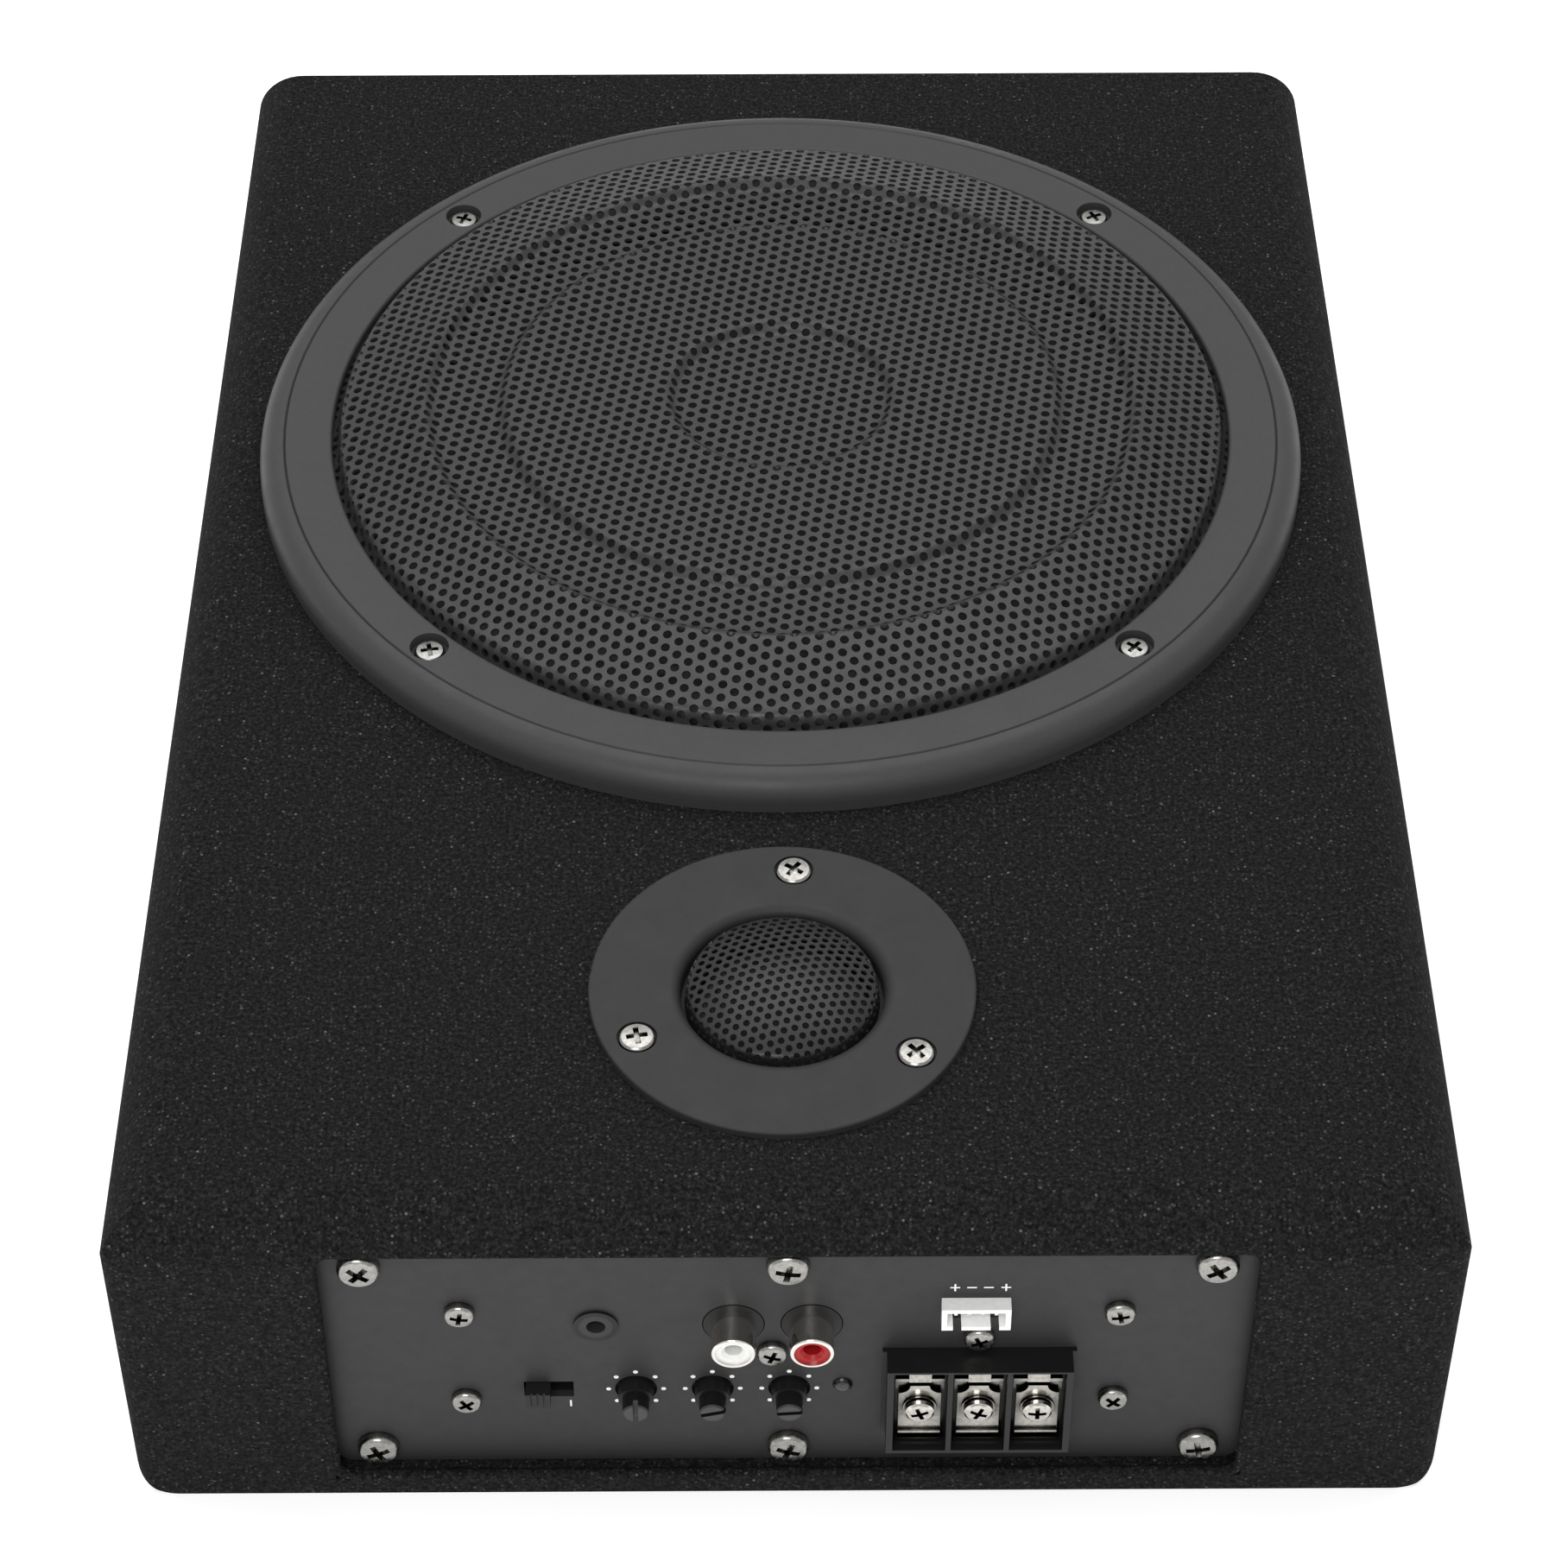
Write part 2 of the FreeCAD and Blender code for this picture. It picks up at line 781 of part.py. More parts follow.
def grille_mesh():
    """The formed steel mesh as a plain sheet: a steep wall, a falling ring, a groove and a dish."""
    sheet_metal = D.mesh_sheet
    rim = RING_LIP
    crown = D.mesh_rise
    groove = D.mesh_rise - D.mesh_step
    edge = D.mesh_rise - D.mesh_fall
    edge_drop, edge_round = 1.0, 2.4
    foot, wall_low, wall_high, shoulder = 95.8, 94.9, 94.3, 92.0
    ring_in, groove_out, groove_in, ring_out = 76.0, 74.0, 60.6, 58.6
    dish_out, dish_in = 24.2, 22.4
    lean = 0.3
    upper = [
        (D.mesh_rim_radius, rim),
        (foot, rim),
        (wall_low, rim + 0.9),
        (wall_high, edge - edge_drop),
        arc(shoulder, edge, edge_round, 1),
        (ring_in, crown),
        (groove_out, groove),
        (groove_in, groove),
        (ring_out, crown),
        (dish_out, crown),
        (dish_in, groove),
        (0, groove),
    ]
    lower = [
        (0, groove - sheet_metal),
        (dish_in - lean, groove - sheet_metal),
        (dish_out - lean, crown - sheet_metal),
        (ring_out + lean, crown - sheet_metal),
        (groove_in + lean, groove - sheet_metal),
        (groove_out - lean, groove - sheet_metal),
        (ring_in - lean, crown - sheet_metal),
        (shoulder - 0.3, edge - sheet_metal),
        (wall_high - sheet_metal, edge - edge_drop - 0.5),
        (wall_low - sheet_metal, rim + 0.6),
        (foot - 0.7, rim - sheet_metal),
        (D.mesh_rim_radius, rim - sheet_metal),
    ]
    node(lathe("grille_mesh", upper + lower, WOOFER))


# The woofer


def woofer_frame():
    """The pressed steel basket with six windows, and the foam gasket on its flange."""
    metal = D.basket_sheet
    shelf = SPIDER_LEVEL
    floor = FLOOR_LEVEL
    rim = 91.5
    corners = [
        (D.basket_radius, 0),
        (D.basket_radius, metal),
        (rim, metal),
        (88.0, -6),
        (61.0, shelf),
        (52.0, shelf),
        (50.0, shelf - 2),
        (48.0, floor + metal),
        (21.0, floor + metal),
        (21.0, floor),
        (49.0, floor),
        (51.4, shelf - 2.6),
        (52.6, shelf - metal),
        (61.6, shelf - metal),
        (89.4, -6.6),
        (92.6, 0),
    ]
    body = lathe("woofer_basket", corners, WOOFER, turn=45)
    near, far, half = 64.0, 85.0, math.radians(22)
    window = [
        (near * math.cos(half), -near * math.sin(half)),
        (far * math.cos(half), -far * math.sin(half)),
        arc(far * math.cos(half), far * math.sin(half), far, 1),
        (near * math.cos(half), near * math.sin(half)),
        arc(near * math.cos(half), -near * math.sin(half), near, -1),
    ][:-1]
    window[0] = arc(window[0][0], window[0][1], near, -1)
    opening = pocket(body, "basket_window", metal, lambda sketch: outline(sketch, window))
    polar(body, [opening], 6)
    holes = [
        cylinder(f"basket_hole_{index}", D.pan_shank + 0.2, 8, (x, y, TOP - 3))
        for index, (x, y) in enumerate(GRILLE_SCREWS)
    ]
    body.Label = "basket_pressing"
    drilled = cut("woofer_basket_drilled", body, holes)
    drilled.Label = "woofer_basket"
    node(drilled)

    thickness = RING_LIP - D.mesh_sheet
    corners = rectangle(D.surround_outer + 0.5, metal, D.basket_radius, thickness)
    foam = lathe("gasket_ring", corners, WOOFER)
    holes = [
        cylinder(f"gasket_hole_{index}", D.pan_shank + 0.2, 8, (x, y, TOP - 1))
        for index, (x, y) in enumerate(GRILLE_SCREWS)
    ]
    node(cut("woofer_gasket", foam, holes))


def woofer_suspension():
    """The rubber half-roll surround and the corrugated spider."""
    level, wall = D.basket_sheet, D.paper
    inner, outer = D.surround_roll_inner, D.surround_roll_outer
    half = (outer - inner) / 2
    corners = [
        (D.surround_outer, level),
        (D.surround_outer, level + wall),
        (outer, level + wall),
        arc(inner, level + wall, cap_radius(half, D.surround_rise), 1),
        (D.cone_lip, level + wall),
        (D.cone_lip, level),
        (inner + wall, level),
        arc(outer - wall, level, cap_radius(half - wall, D.surround_rise), -1),
    ]
    node(lathe("woofer_surround", corners, WOOFER))

    level, cloth = SPIDER_LEVEL, 0.6
    waves, first, pitch, bend = 6, 22.0, 4.6, 2.9
    edges = [first + pitch * index for index in range(waves + 1)]
    upper = [(edges[0], level + cloth)]
    for index, radius in enumerate(edges[1:]):
        upper.append(arc(radius, level + cloth, bend, -1 if index % 2 == 0 else 1))
    lower = [(edges[-1], level)]
    for index, radius in reversed(list(enumerate(edges[:-1]))):
        lower.append(arc(radius, level, bend, 1 if index % 2 == 0 else -1))
    corners = [(D.former_radius, level), (D.former_radius, level + cloth)] + upper
    corners += [(D.spider_radius, level + cloth), (D.spider_radius, level)] + lower
    node(lathe("woofer_spider", corners, WOOFER))


def woofer_cone():
    """The paper cone with a flat lip, and the dust cap over its neck."""
    lip, wall = D.basket_sheet, D.paper
    neck = -D.cone_neck_depth
    corners = [
        (D.surround_roll_inner, lip - wall),
        (D.surround_roll_inner, lip),
        (D.cone_lip, lip),
        (D.former_radius + 1, neck + wall),
        (D.former_radius, neck + wall),
        (D.former_radius, neck),
        (D.former_radius + 1, neck),
        (D.cone_lip, lip - wall),
    ]
    node(lathe("woofer_cone", corners, WOOFER))

    slope = (lip - wall - neck) / (D.cone_lip - D.former_radius - 1)
    outer, rise = D.dust_cap_radius, D.dust_cap_rise
    inner = outer - 1.2
    seat = neck + wall + slope * (outer - 1 - D.former_radius)
    foot = seat - 1.2 * slope
    top = seat + rise
    corners = [
        (outer, seat),
        arc(0, top, cap_radius(outer, rise), 1),
        (0, top - wall),
        arc(inner, foot, cap_radius(inner, top - wall - foot), -1),
    ]
    node(lathe("woofer_dust_cap", corners, WOOFER))


def woofer_motor():
    """The voice coil on its former, and the magnet between its two steel plates."""
    former_inner = D.former_radius - D.former_wall
    foot = MAGNET_LEVEL + 8
    corners = rectangle(former_inner, foot, D.former_radius, -D.cone_neck_depth + 2)
    node(lathe("voice_coil_former", corners, WOOFER))
    middle = PLATE_LEVEL + D.steel_plate / 2
    corners = rectangle(
        D.former_radius, middle - 7, D.former_radius + D.coil_build, middle + 7
    )
    node(lathe("voice_coil", corners, WOOFER))

    corners = rectangle(D.gap_radius, PLATE_LEVEL, D.plate_radius, FLOOR_LEVEL)
    node(lathe("woofer_top_plate", corners, WOOFER))
    corners = rectangle(24, MAGNET_LEVEL, D.magnet_radius, PLATE_LEVEL)
    node(lathe("woofer_magnet", corners, WOOFER))
    vent = 5
    corners = [
        (vent, YOKE_LEVEL),
        (D.plate_radius, YOKE_LEVEL),
        (D.plate_radius, MAGNET_LEVEL),
        (D.pole_radius, MAGNET_LEVEL),
        (D.pole_radius, FLOOR_LEVEL + 0.5),
        (vent, FLOOR_LEVEL + 0.5),
    ]
    node(lathe("woofer_yoke", corners, WOOFER))


def woofer_terminals():
    """A terminal strip on the basket's neck, with two blade tabs towards the amplifier."""
    level = TOP + FLOOR_LEVEL + 4
    wall = 50.6
    strip = block(
        "terminal_strip_blank",
        (-9, D.woofer_y - wall - 9, level),
        (9, D.woofer_y - wall + 6, level + 1.5),
    )
    neck = lathe(
        "terminal_strip_neck",
        [
            (0, FLOOR_LEVEL - 1),
            (49.0, FLOOR_LEVEL - 1),
            (49.0, FLOOR_LEVEL),
            (51.4, SPIDER_LEVEL - 2.6),
            (0, SPIDER_LEVEL - 2.6),
        ],
        WOOFER,
    )
    node(cut("woofer_terminal_strip", strip, [neck]))
    tabs = [
        block(
            f"woofer_tab_{index}",
            (x - 2.4, D.woofer_y - wall - 14, level + 1.5),
            (x + 2.4, D.woofer_y - wall - 3, level + 2.3),
        )
        for index, x in enumerate((-5, 5))
    ]
    node(group("woofer_tabs", tabs))


# The tweeter


def tweeter_case():
    """The round flange plate with its tube, and the spacer ring the dome mesh stands on."""
    rise, hole = D.tweeter_rise, D.tweeter_hole
    tube_outer, tube_inner, tube_end = 25.6, 22.6, -14.0
    corners = [
        (hole, MESH_FOOT),
        (tube_inner, MESH_FOOT),
        (tube_inner, tube_end),
        (tube_outer, tube_end),
        (tube_outer, 0),
        (D.tweeter_radius, 0),
        (D.tweeter_radius, rise - 0.5),
        arc(D.tweeter_radius - 0.5, rise, 0.5, 1),
        (hole + 2.4, rise),
        arc(hole, rise - 2.4, 2.4, 1),
    ]
    body = lathe("tweeter_flange", corners, TWEETER, turn=D.tweeter_first_screw.value)
    spot = D.tweeter_screw_circle
    recess = pocket(
        body,
        "tweeter_recess",
        rise,
        lambda sketch: circle(sketch, spot, 0, D.tweeter_head + 0.35),
        0.7,
    )
    hole_through = pocket(
        body,
        "tweeter_screw_hole",
        rise,
        lambda sketch: circle(sketch, spot, 0, D.pan_shank + 0.2),
    )
    polar(body, [recess, hole_through], 3)
    node(body)

    corners = rectangle(D.dome_mesh_radius - 1, TWEETER_SEAT, tube_inner, MESH_FOOT)
    node(lathe("tweeter_spacer", corners, TWEETER))


def tweeter_mesh():
    """The domed tweeter mesh as a plain sheet, with a skirt that flares towards its foot."""
    edge, top, metal = D.dome_mesh_radius, D.dome_mesh_rise, D.dome_mesh_sheet
    shoulder = D.dome_mesh_shoulder
    rise = top - shoulder
    flare = 0.6
    corners = [
        (edge + flare, MESH_FOOT),
        (edge, shoulder),
        arc(0, top, cap_radius(edge, rise), 1),
        (0, top - metal),
        arc(edge - metal, shoulder - metal, cap_radius(edge - metal, rise), -1),
        (edge + flare - metal, MESH_FOOT),
    ]
    node(lathe("tweeter_mesh", corners, TWEETER))


def tweeter_driver():
    """The soft dome, its surround and coil, and the small ring magnet motor."""
    edge = D.dome_radius
    seat = TWEETER_SEAT
    silk, rise = 0.3, 4.6
    inner = edge - 0.4
    corners = [
        (edge, seat),
        arc(0, seat + rise, cap_radius(edge, rise), 1),
        (0, seat + rise - silk),
        arc(inner, seat, cap_radius(inner, rise - silk), -1),
    ]
    node(lathe("tweeter_dome", corners, TWEETER))
    corners = [
        (edge, seat - 0.6),
        (D.tweeter_hole, seat - 0.6),
        (D.tweeter_hole, seat),
        (17.0, seat),
        arc(edge + 0.3, seat, 2.2, 1),
        (edge, seat),
    ]
    node(lathe("tweeter_surround", corners, TWEETER))
    corners = rectangle(inner, seat - 5.2, edge, seat)
    node(lathe("tweeter_coil", corners, TWEETER))

    plate_top = seat - 0.6
    plate_bottom = plate_top - 3
    magnet_bottom = plate_bottom - 8
    corners = rectangle(edge + 0.4, plate_bottom, 22.6, plate_top)
    node(lathe("tweeter_top_plate", corners, TWEETER))
    corners = rectangle(15.5, magnet_bottom, 21, plate_bottom)
    node(lathe("tweeter_magnet", corners, TWEETER))
    corners = [
        (0, magnet_bottom - 3),
        (20, magnet_bottom - 3),
        (20, magnet_bottom),
        (edge - 0.9, magnet_bottom),
        (edge - 0.9, plate_top),
        (0, plate_top),
    ]
    node(lathe("tweeter_yoke", corners, TWEETER))


# The amplifier panel and what shows on it


def panel_hole(name, x, z, radius):
    """A round hole through the panel."""
    return cylinder(f"panel_{name}", radius, 4, (x, PANEL_BACK + 1, z), "front")


def panel_slot(name, left, low, right, high):
    """A rectangular hole through the panel."""
    return block(f"panel_{name}", (left, PANEL_FACE - 1, low), (right, PANEL_BACK + 1, high))


def block_edges():
    """The terminal block's left, low, right and high limits."""
    half = D.block_width / 2
    return D.block_x - half, D.block_low, D.block_x + half, D.block_high


def header_edges():
    """The input header's left, low, right and high limits."""
    half, tall = D.header_width / 2, D.header_tall / 2
    return D.header_x - half, D.header_row - tall, D.header_x + half, D.header_row + tall


def switch_edges():
    """The switch slot's left, low, right and high limits."""
    half, tall = D.switch_slot / 2, D.switch_slot_tall / 2
    return D.switch_x - half, D.control_row - tall, D.switch_x + half, D.control_row + tall


def amp_panel():
    """The sheet-metal panel with a hole for each screw, socket and control."""
    corners = rounded_rectangle(
        PANEL_LEFT, D.panel_low, PANEL_RIGHT, D.panel_high, D.panel_corner
    )
    plate = prism("panel_plate", "XZ_Plane", corners, PANEL_FACE, PANEL_BACK)
    holes = [
        panel_hole(f"wood_hole_{index}", x, z, D.wood_shank + 0.4)
        for index, (x, z) in enumerate(WOOD_SCREWS)
    ]
    holes += [
        panel_hole(f"machine_hole_{index}", x, z, D.pan_shank + 0.2)
        for index, (x, z) in enumerate(MACHINE_SCREWS)
    ]
    holes += [
        panel_hole(f"rca_hole_{index}", x, D.socket_row, D.rca_base + 0.2)
        for index, x in enumerate(RCA_PLACES)
    ]
    holes += [
        panel_hole(f"knob_hole_{index}", x, D.control_row, D.knob_hole)
        for index, x in enumerate(KNOB_PLACES)
    ]
    holes += [
        panel_hole("jack_hole", D.jack_x, D.socket_row, D.jack_flange - 0.8),
        panel_hole("led_hole", D.led_x, D.led_row, D.led_radius),
        panel_slot("switch_hole", *switch_edges()),
        panel_slot("header_hole", *header_edges()),
        panel_slot("block_hole", *block_edges()),
    ]
    node(cut("amp_panel", plate, holes))


def rca_sockets():
    """The twin phono socket: black housing, two metal barrels and their coloured inserts."""
    left, right = D.rca_middle - 14.2, D.rca_middle + 14.2
    body = block(
        "rca_body", (left, PANEL_BACK, 35.0), (right, D.board_front, D.socket_row + 7.2)
    )
    behind = 8
    lip = 0.1
    depth = D.rca_length + behind
    mouth = PANEL_FACE - D.rca_length
    seat_radius = D.rca_radius - 0.3
    collars, bores = [], []
    for index, x in enumerate(RCA_PLACES):
        start = (x, PANEL_BACK, D.socket_row)
        collars.append(
            cylinder(f"rca_collar_{index}", D.rca_base, D.panel_sheet + lip, start, "front")
        )
        foot = (x, mouth + depth, D.socket_row)
        bores.append(cylinder(f"rca_bore_{index}", seat_radius, depth, foot, "front"))
    screw = cylinder(
        "rca_screw_hole",
        D.pan_shank,
        9,
        (RCA_SCREW[0], PANEL_BACK + 8, RCA_SCREW[1]),
        "front",
    )
    solid = fuse("rca_solid", [body] + collars)
    node(cut("rca_housing", solid, bores + [screw]))

    wall = D.rca_radius - D.rca_wall
    barrels = []
    for index, x in enumerate(RCA_PLACES):
        corners = [
            (wall, 0),
            (seat_radius, 0),
            (seat_radius, behind + lip),
            (D.rca_radius, behind + lip),
            (D.rca_radius, depth - 0.4),
            arc(D.rca_radius - 0.4, depth, 0.4, 1),
            (wall, depth),
        ]
        at = (x, mouth + depth, D.socket_row)
        barrels.append(lathe(f"rca_barrel_{index}", corners, at, "front"))
    node(group("rca_barrels", barrels))
    for name, x in zip(("rca_insert_left", "rca_insert_right"), RCA_PLACES):
        corners = [
            (0, 0),
            (wall, 0),
            (wall, depth - 0.5),
            (2.3, depth - 0.5),
            (1.65, depth - 1.2),
            (1.65, 4),
            (0, 4),
        ]
        at = (x, mouth + depth, D.socket_row)
        node(lathe(name, corners, at, "front"))


def aux_jack():
    """The 3.5 mm input jack with its round flange on the panel's face."""
    body = block(
        "jack_body",
        (D.jack_x - 6, PANEL_BACK, D.socket_row - 6),
        (D.jack_x + 6, D.board_front, D.socket_row + 6),
    )
    nose_end = PANEL_FACE - 0.6
    start = (D.jack_x, PANEL_BACK, D.socket_row)
    nose = cylinder(
        "jack_nose", D.jack_flange - 0.8, D.panel_sheet + 0.6, start, "front"
    )
    start = (D.jack_x, PANEL_FACE, D.socket_row)
    flange = cylinder("jack_rim", D.jack_flange, 0.6, start, "front")
    foot = (D.jack_x, nose_end + 12, D.socket_row)
    bore = cylinder("jack_hole_bore", D.jack_bore, 12, foot, "front")
    node(cut("aux_jack", fuse("jack_solid", [body, nose, flange]), [bore]))


def mode_switch():
    """The slide switch: a fixed case and the lever that moves to the right."""
    left, low, right, high = switch_edges()
    case = block(
        "switch_case",
        (left - 3, PANEL_BACK, low - 1.6),
        (right + 3, D.board_front, high + 1.6),
    )
    channel = block(
        "switch_channel", (left, PANEL_BACK - 1, low), (right, PANEL_BACK + 4, high)
    )
    node(cut("mode_switch_case", case, [channel]))
    start = left + 0.4
    half = D.lever_tall / 2
    stem = block(
        "lever_stem",
        (start, PANEL_FACE - D.lever_rise, D.control_row - half),
        (start + D.lever_width, PANEL_BACK + 3.6, D.control_row + half),
    )
    grooves = [
        block(
            f"lever_groove_{index}",
            (start + 0.9 + index * 1.2, PANEL_FACE - D.lever_rise - 1, D.control_row - half - 1),
            (
                start + 1.3 + index * 1.2,
                PANEL_FACE - D.lever_rise + 0.4,
                D.control_row + half + 1,
            ),
        )
        for index in range(3)
    ]
    node(cut("mode_switch_lever", stem, grooves))


def level_controls():
    """Three potentiometers, each with a fixed case and a slotted shaft that turns."""
    foot = PANEL_BACK + 4
    depth = foot - PANEL_FACE + D.knob_length
    cases = []
    for index, (name, x) in enumerate(zip(KNOBS, KNOB_PLACES)):
        case = block(
            f"pot_case_{index}",
            (x - 4.9, PANEL_BACK, D.control_row - 6),
            (x + 4.9, D.board_front, D.control_row + 5),
        )
        start = (x, PANEL_BACK, D.control_row)
        bush = cylinder(
            f"pot_bush_{index}", D.bush_radius, D.panel_sheet + D.bush_rise, start, "front"
        )
        bore = cylinder(
            f"pot_bore_{index}",
            D.knob_radius + 0.05,
            D.bush_rise + 6,
            (x, foot + 0.3, D.control_row),
            "front",
        )
        solid = fuse(f"pot_solid_{index}", [case, bush])
        cases.append(cut(f"pot_{index}", solid, [bore]))
        corners = [
            (0, 0),
            (D.knob_radius, 0),
            (D.knob_radius, depth - 0.3),
            (D.knob_radius - 0.3, depth),
            (0, depth),
        ]
        turn = (90, 15, 5)[index]
        shaft = lathe(name, corners, (x, foot, D.control_row), "front", turn)
        slot = rectangle(-D.knob_radius - 1, -0.5, D.knob_radius + 1, 0.5)
        pocket(shaft, f"{name}_slot", depth, lambda sketch: outline(sketch, slot), 1.4)
        node(shaft)
    node(group("level_pots", cases))


def power_light():
    """The round indicator lens."""
    foot = D.board_front
    depth = foot - PANEL_FACE
    corners = [
        (0, 0),
        (D.led_radius + 0.4, 0),
        (D.led_radius + 0.4, depth - D.panel_sheet),
        (D.led_radius, depth - D.panel_sheet),
        (D.led_radius, depth + 0.2),
        arc(0, depth + 1.3, cap_radius(D.led_radius, 1.1), 1),
    ]
    node(lathe("power_led", corners, (D.led_x, foot, D.led_row), "front"))


def input_header():
    """The white four-way speaker-level header and its pins."""
    left, low, right, high = header_edges()
    mouth = PANEL_FACE - D.header_rise
    wall = 1.0
    slot_half, slot_offset = 0.8, 3.5
    shell = block("header_shell", (left, mouth, low), (right, D.board_front, high))
    cavity = block(
        "header_cavity",
        (left + wall, mouth - 1, low + wall),
        (right - wall, mouth + 8, high - wall),
    )
    slots = [
        block(
            f"header_slot_{index}",
            (D.header_x + offset - slot_half, mouth - 1, low - 1),
            (D.header_x + offset + slot_half, PANEL_BACK + 2, low + wall + 0.1),
        )
        for index, offset in enumerate((-slot_offset, slot_offset))
    ]
    pins = []
    for index in range(4):
        x = D.header_x + D.header_pitch * (index - 1.5)
        pins.append(
            block(
                f"header_pin_{index}",
                (x - 0.32, mouth + 1.4, D.header_row - 0.32),
                (x + 0.32, D.board_front, D.header_row + 0.32),
            )
        )
    pin_group = node(group("header_pins", pins))
    node(cut("input_header", shell, [cavity] + slots + [pin_group]))


def terminal_screw(name, x, z, base, turn):
    """A terminal screw with its flat washer and spring washer held under the head."""
    shank, flat, spring, head = 1.7, 3.15, 2.5, 2.75
    washer, ring, top = 0.45, 0.8, 2.2
    length, edge = 9.0, 0.3
    crown = head * 0.85
    shoulder = top - 0.3
    corners = [
        (0, -length),
        (shank, -length),
        (shank, 0),
        (flat, 0),
        (flat, washer),
        (spring, washer),
        (spring, ring),
        (head, ring),
        (head, shoulder - edge),
        (crown, shoulder),
        arc(0, top, cap_radius(crown, top - shoulder), 1),
    ]
    body = lathe(name, corners, (x, base, z), "front", turn)
    pocket(
        body,
        f"{name}_cross",
        top,
        lambda sketch: cross(sketch, head * 0.62, head * 0.15),
        top - ring - 0.2,
    )
    return body


def terminal_cell(index, x, floor, low, high):
    """One way of the barrier block: its cell, contact plate, clamp and screw."""
    half, clamp_half, tab_half, cell_half, cell_depth = 4.6, 4.0, 2.1, 5.05, 5.4
    sheet_metal, lip, fold, tab = 0.8, 0.6, 0.8, 1.6
    clamp_metal, notch = 1.0, 2.2
    screw_height, clamp_low, clamp_high = low + 10.7, low + 3.0, low + 16.8
    sheet_low, sheet_high = low + 0.4, high - 0.3
    fold_low, tab_low, tab_high = high - 5.8, high - 5.0, high - 2.5
    sheet_face = floor - sheet_metal
    clamp_face = sheet_face - clamp_metal
    cell = block(f"cell_{index}", (x - cell_half, floor - cell_depth, low), (x + cell_half, floor, high))
    plate = [
        block(
            f"contact_sheet_{index}",
            (x - half, sheet_face, sheet_low),
            (x + half, floor, sheet_high),
        ),
        block(
            f"contact_fold_{index}",
            (x - half, sheet_face - fold, fold_low),
            (x + half, sheet_face, tab_low),
        ),
        block(
            f"contact_tab_{index}",
            (x - tab_half, sheet_face - tab, tab_low),
            (x + tab_half, sheet_face, tab_high),
        ),
        block(
            f"contact_lip_{index}",
            (x - half, sheet_face - lip * 2, sheet_low),
            (x + half, sheet_face, sheet_low + lip),
        ),
    ]
    clamp_sheet = block(
        f"clamp_sheet_{index}",
        (x - clamp_half, clamp_face, clamp_low),
        (x + clamp_half, sheet_face, clamp_high),
    )
    clamp_lip = block(
        f"clamp_lip_{index}",
        (x - clamp_half, clamp_face - lip, clamp_low),
        (x + clamp_half, clamp_face, clamp_low + lip),
    )
    notches = [
        cylinder(
            f"clamp_notch_{index}_{side}", notch, 3, (x + side * clamp_half, floor, clamp_high), "front"
        )
        for side in (-1, 1)
    ]
    clamp_solid = fuse(f"clamp_solid_{index}", [clamp_sheet, clamp_lip])
    clamp = cut(f"clamp_{index}", clamp_solid, notches)
    turn = (20, 65, 0)[index]
    screw = terminal_screw(f"terminal_screw_{index}", x, screw_height, clamp_face, turn)
    return cell, fuse(f"contact_{index}", plate), clamp, screw


def power_terminals():
    """The three-way barrier block with its contact plates, clamps and screws."""
    left, low, right, high = block_edges()
    face = PANEL_FACE - D.block_rise
    wide = D.block_flange
    solid = block("block_solid", (left, face, low), (right, D.board_front, high))
    flange = block(
        "block_base", (left - wide, PANEL_FACE - 1, low), (right + wide, PANEL_FACE, high)
    )
    lug = block(
        "block_lug",
        (BLOCK_SCREW[0] - 5, PANEL_BACK, high),
        (BLOCK_SCREW[0] + 5, D.board_front, high + 7),
    )
    ways = [
        terminal_cell(
            index, D.block_x + D.block_pitch * (index - 1), face + 4.4, low + 0.8, high - 0.5
        )
        for index in range(3)
    ]
    cells, plates, clamps, screws = (list(parts) for parts in zip(*ways))
    plate_group = fuse("contact_group", plates)
    clamp_group = fuse("clamp_group", clamps)
    screw_group = node(group("terminal_screws", screws))
    node(cut("terminal_contacts", plate_group, [screw_group]))
    node(cut("terminal_clamps", clamp_group, [screw_group]))
    fixing = cylinder(
        "block_screw_hole",
        D.pan_shank,
        9,
        (BLOCK_SCREW[0], PANEL_BACK + 8, BLOCK_SCREW[1]),
        "front",
    )
    housing = fuse("block_housing", [solid, flange, lug])
    node(cut("terminal_block", housing, cells + [fixing, screw_group]))


# The amplifier behind the panel


def circuit_boards():
    """An upright control board behind the sockets, and the flat main board."""
    left, right = sink_faces()
    low = D.main_board_level
    node(block("control_board", (left, D.board_front, low), (right, BOARD_BACK, 57.5)))
    node(
        block(
            "main_board",
            (left, BOARD_BACK, low),
            (right, D.main_board_back, low + D.circuit_board),
        )
    )


def sink_faces():
    """The inner faces of the two heat sink bars."""
    half = D.sink_thickness / 2
    return SINK_SCREWS_LEFT[0][0] + half, SINK_SCREWS_RIGHT[0][0] - half


def heat_sinks():
    """Two aluminium bars, each held to the panel by two screws."""
    left, right = sink_faces()
    sides = (
        ("heat_sink_left", left - D.sink_thickness, left, SINK_SCREWS_LEFT),
        ("heat_sink_right", right, right + D.sink_thickness, SINK_SCREWS_RIGHT),
    )
    bars = []
    for name, start, end, screws in sides:
        bar = block(
            f"{name}_bar", (start, PANEL_BACK, 16.0), (end, D.main_board_back - 12, 57.5)
        )
        holes = [
            cylinder(f"{name}_hole_{index}", D.pan_shank, 9, (x, PANEL_BACK + 8, z), "front")
            for index, (x, z) in enumerate(screws)
        ]
        bars.append(cut(name, bar, holes))
    node(group("heat_sinks", bars))


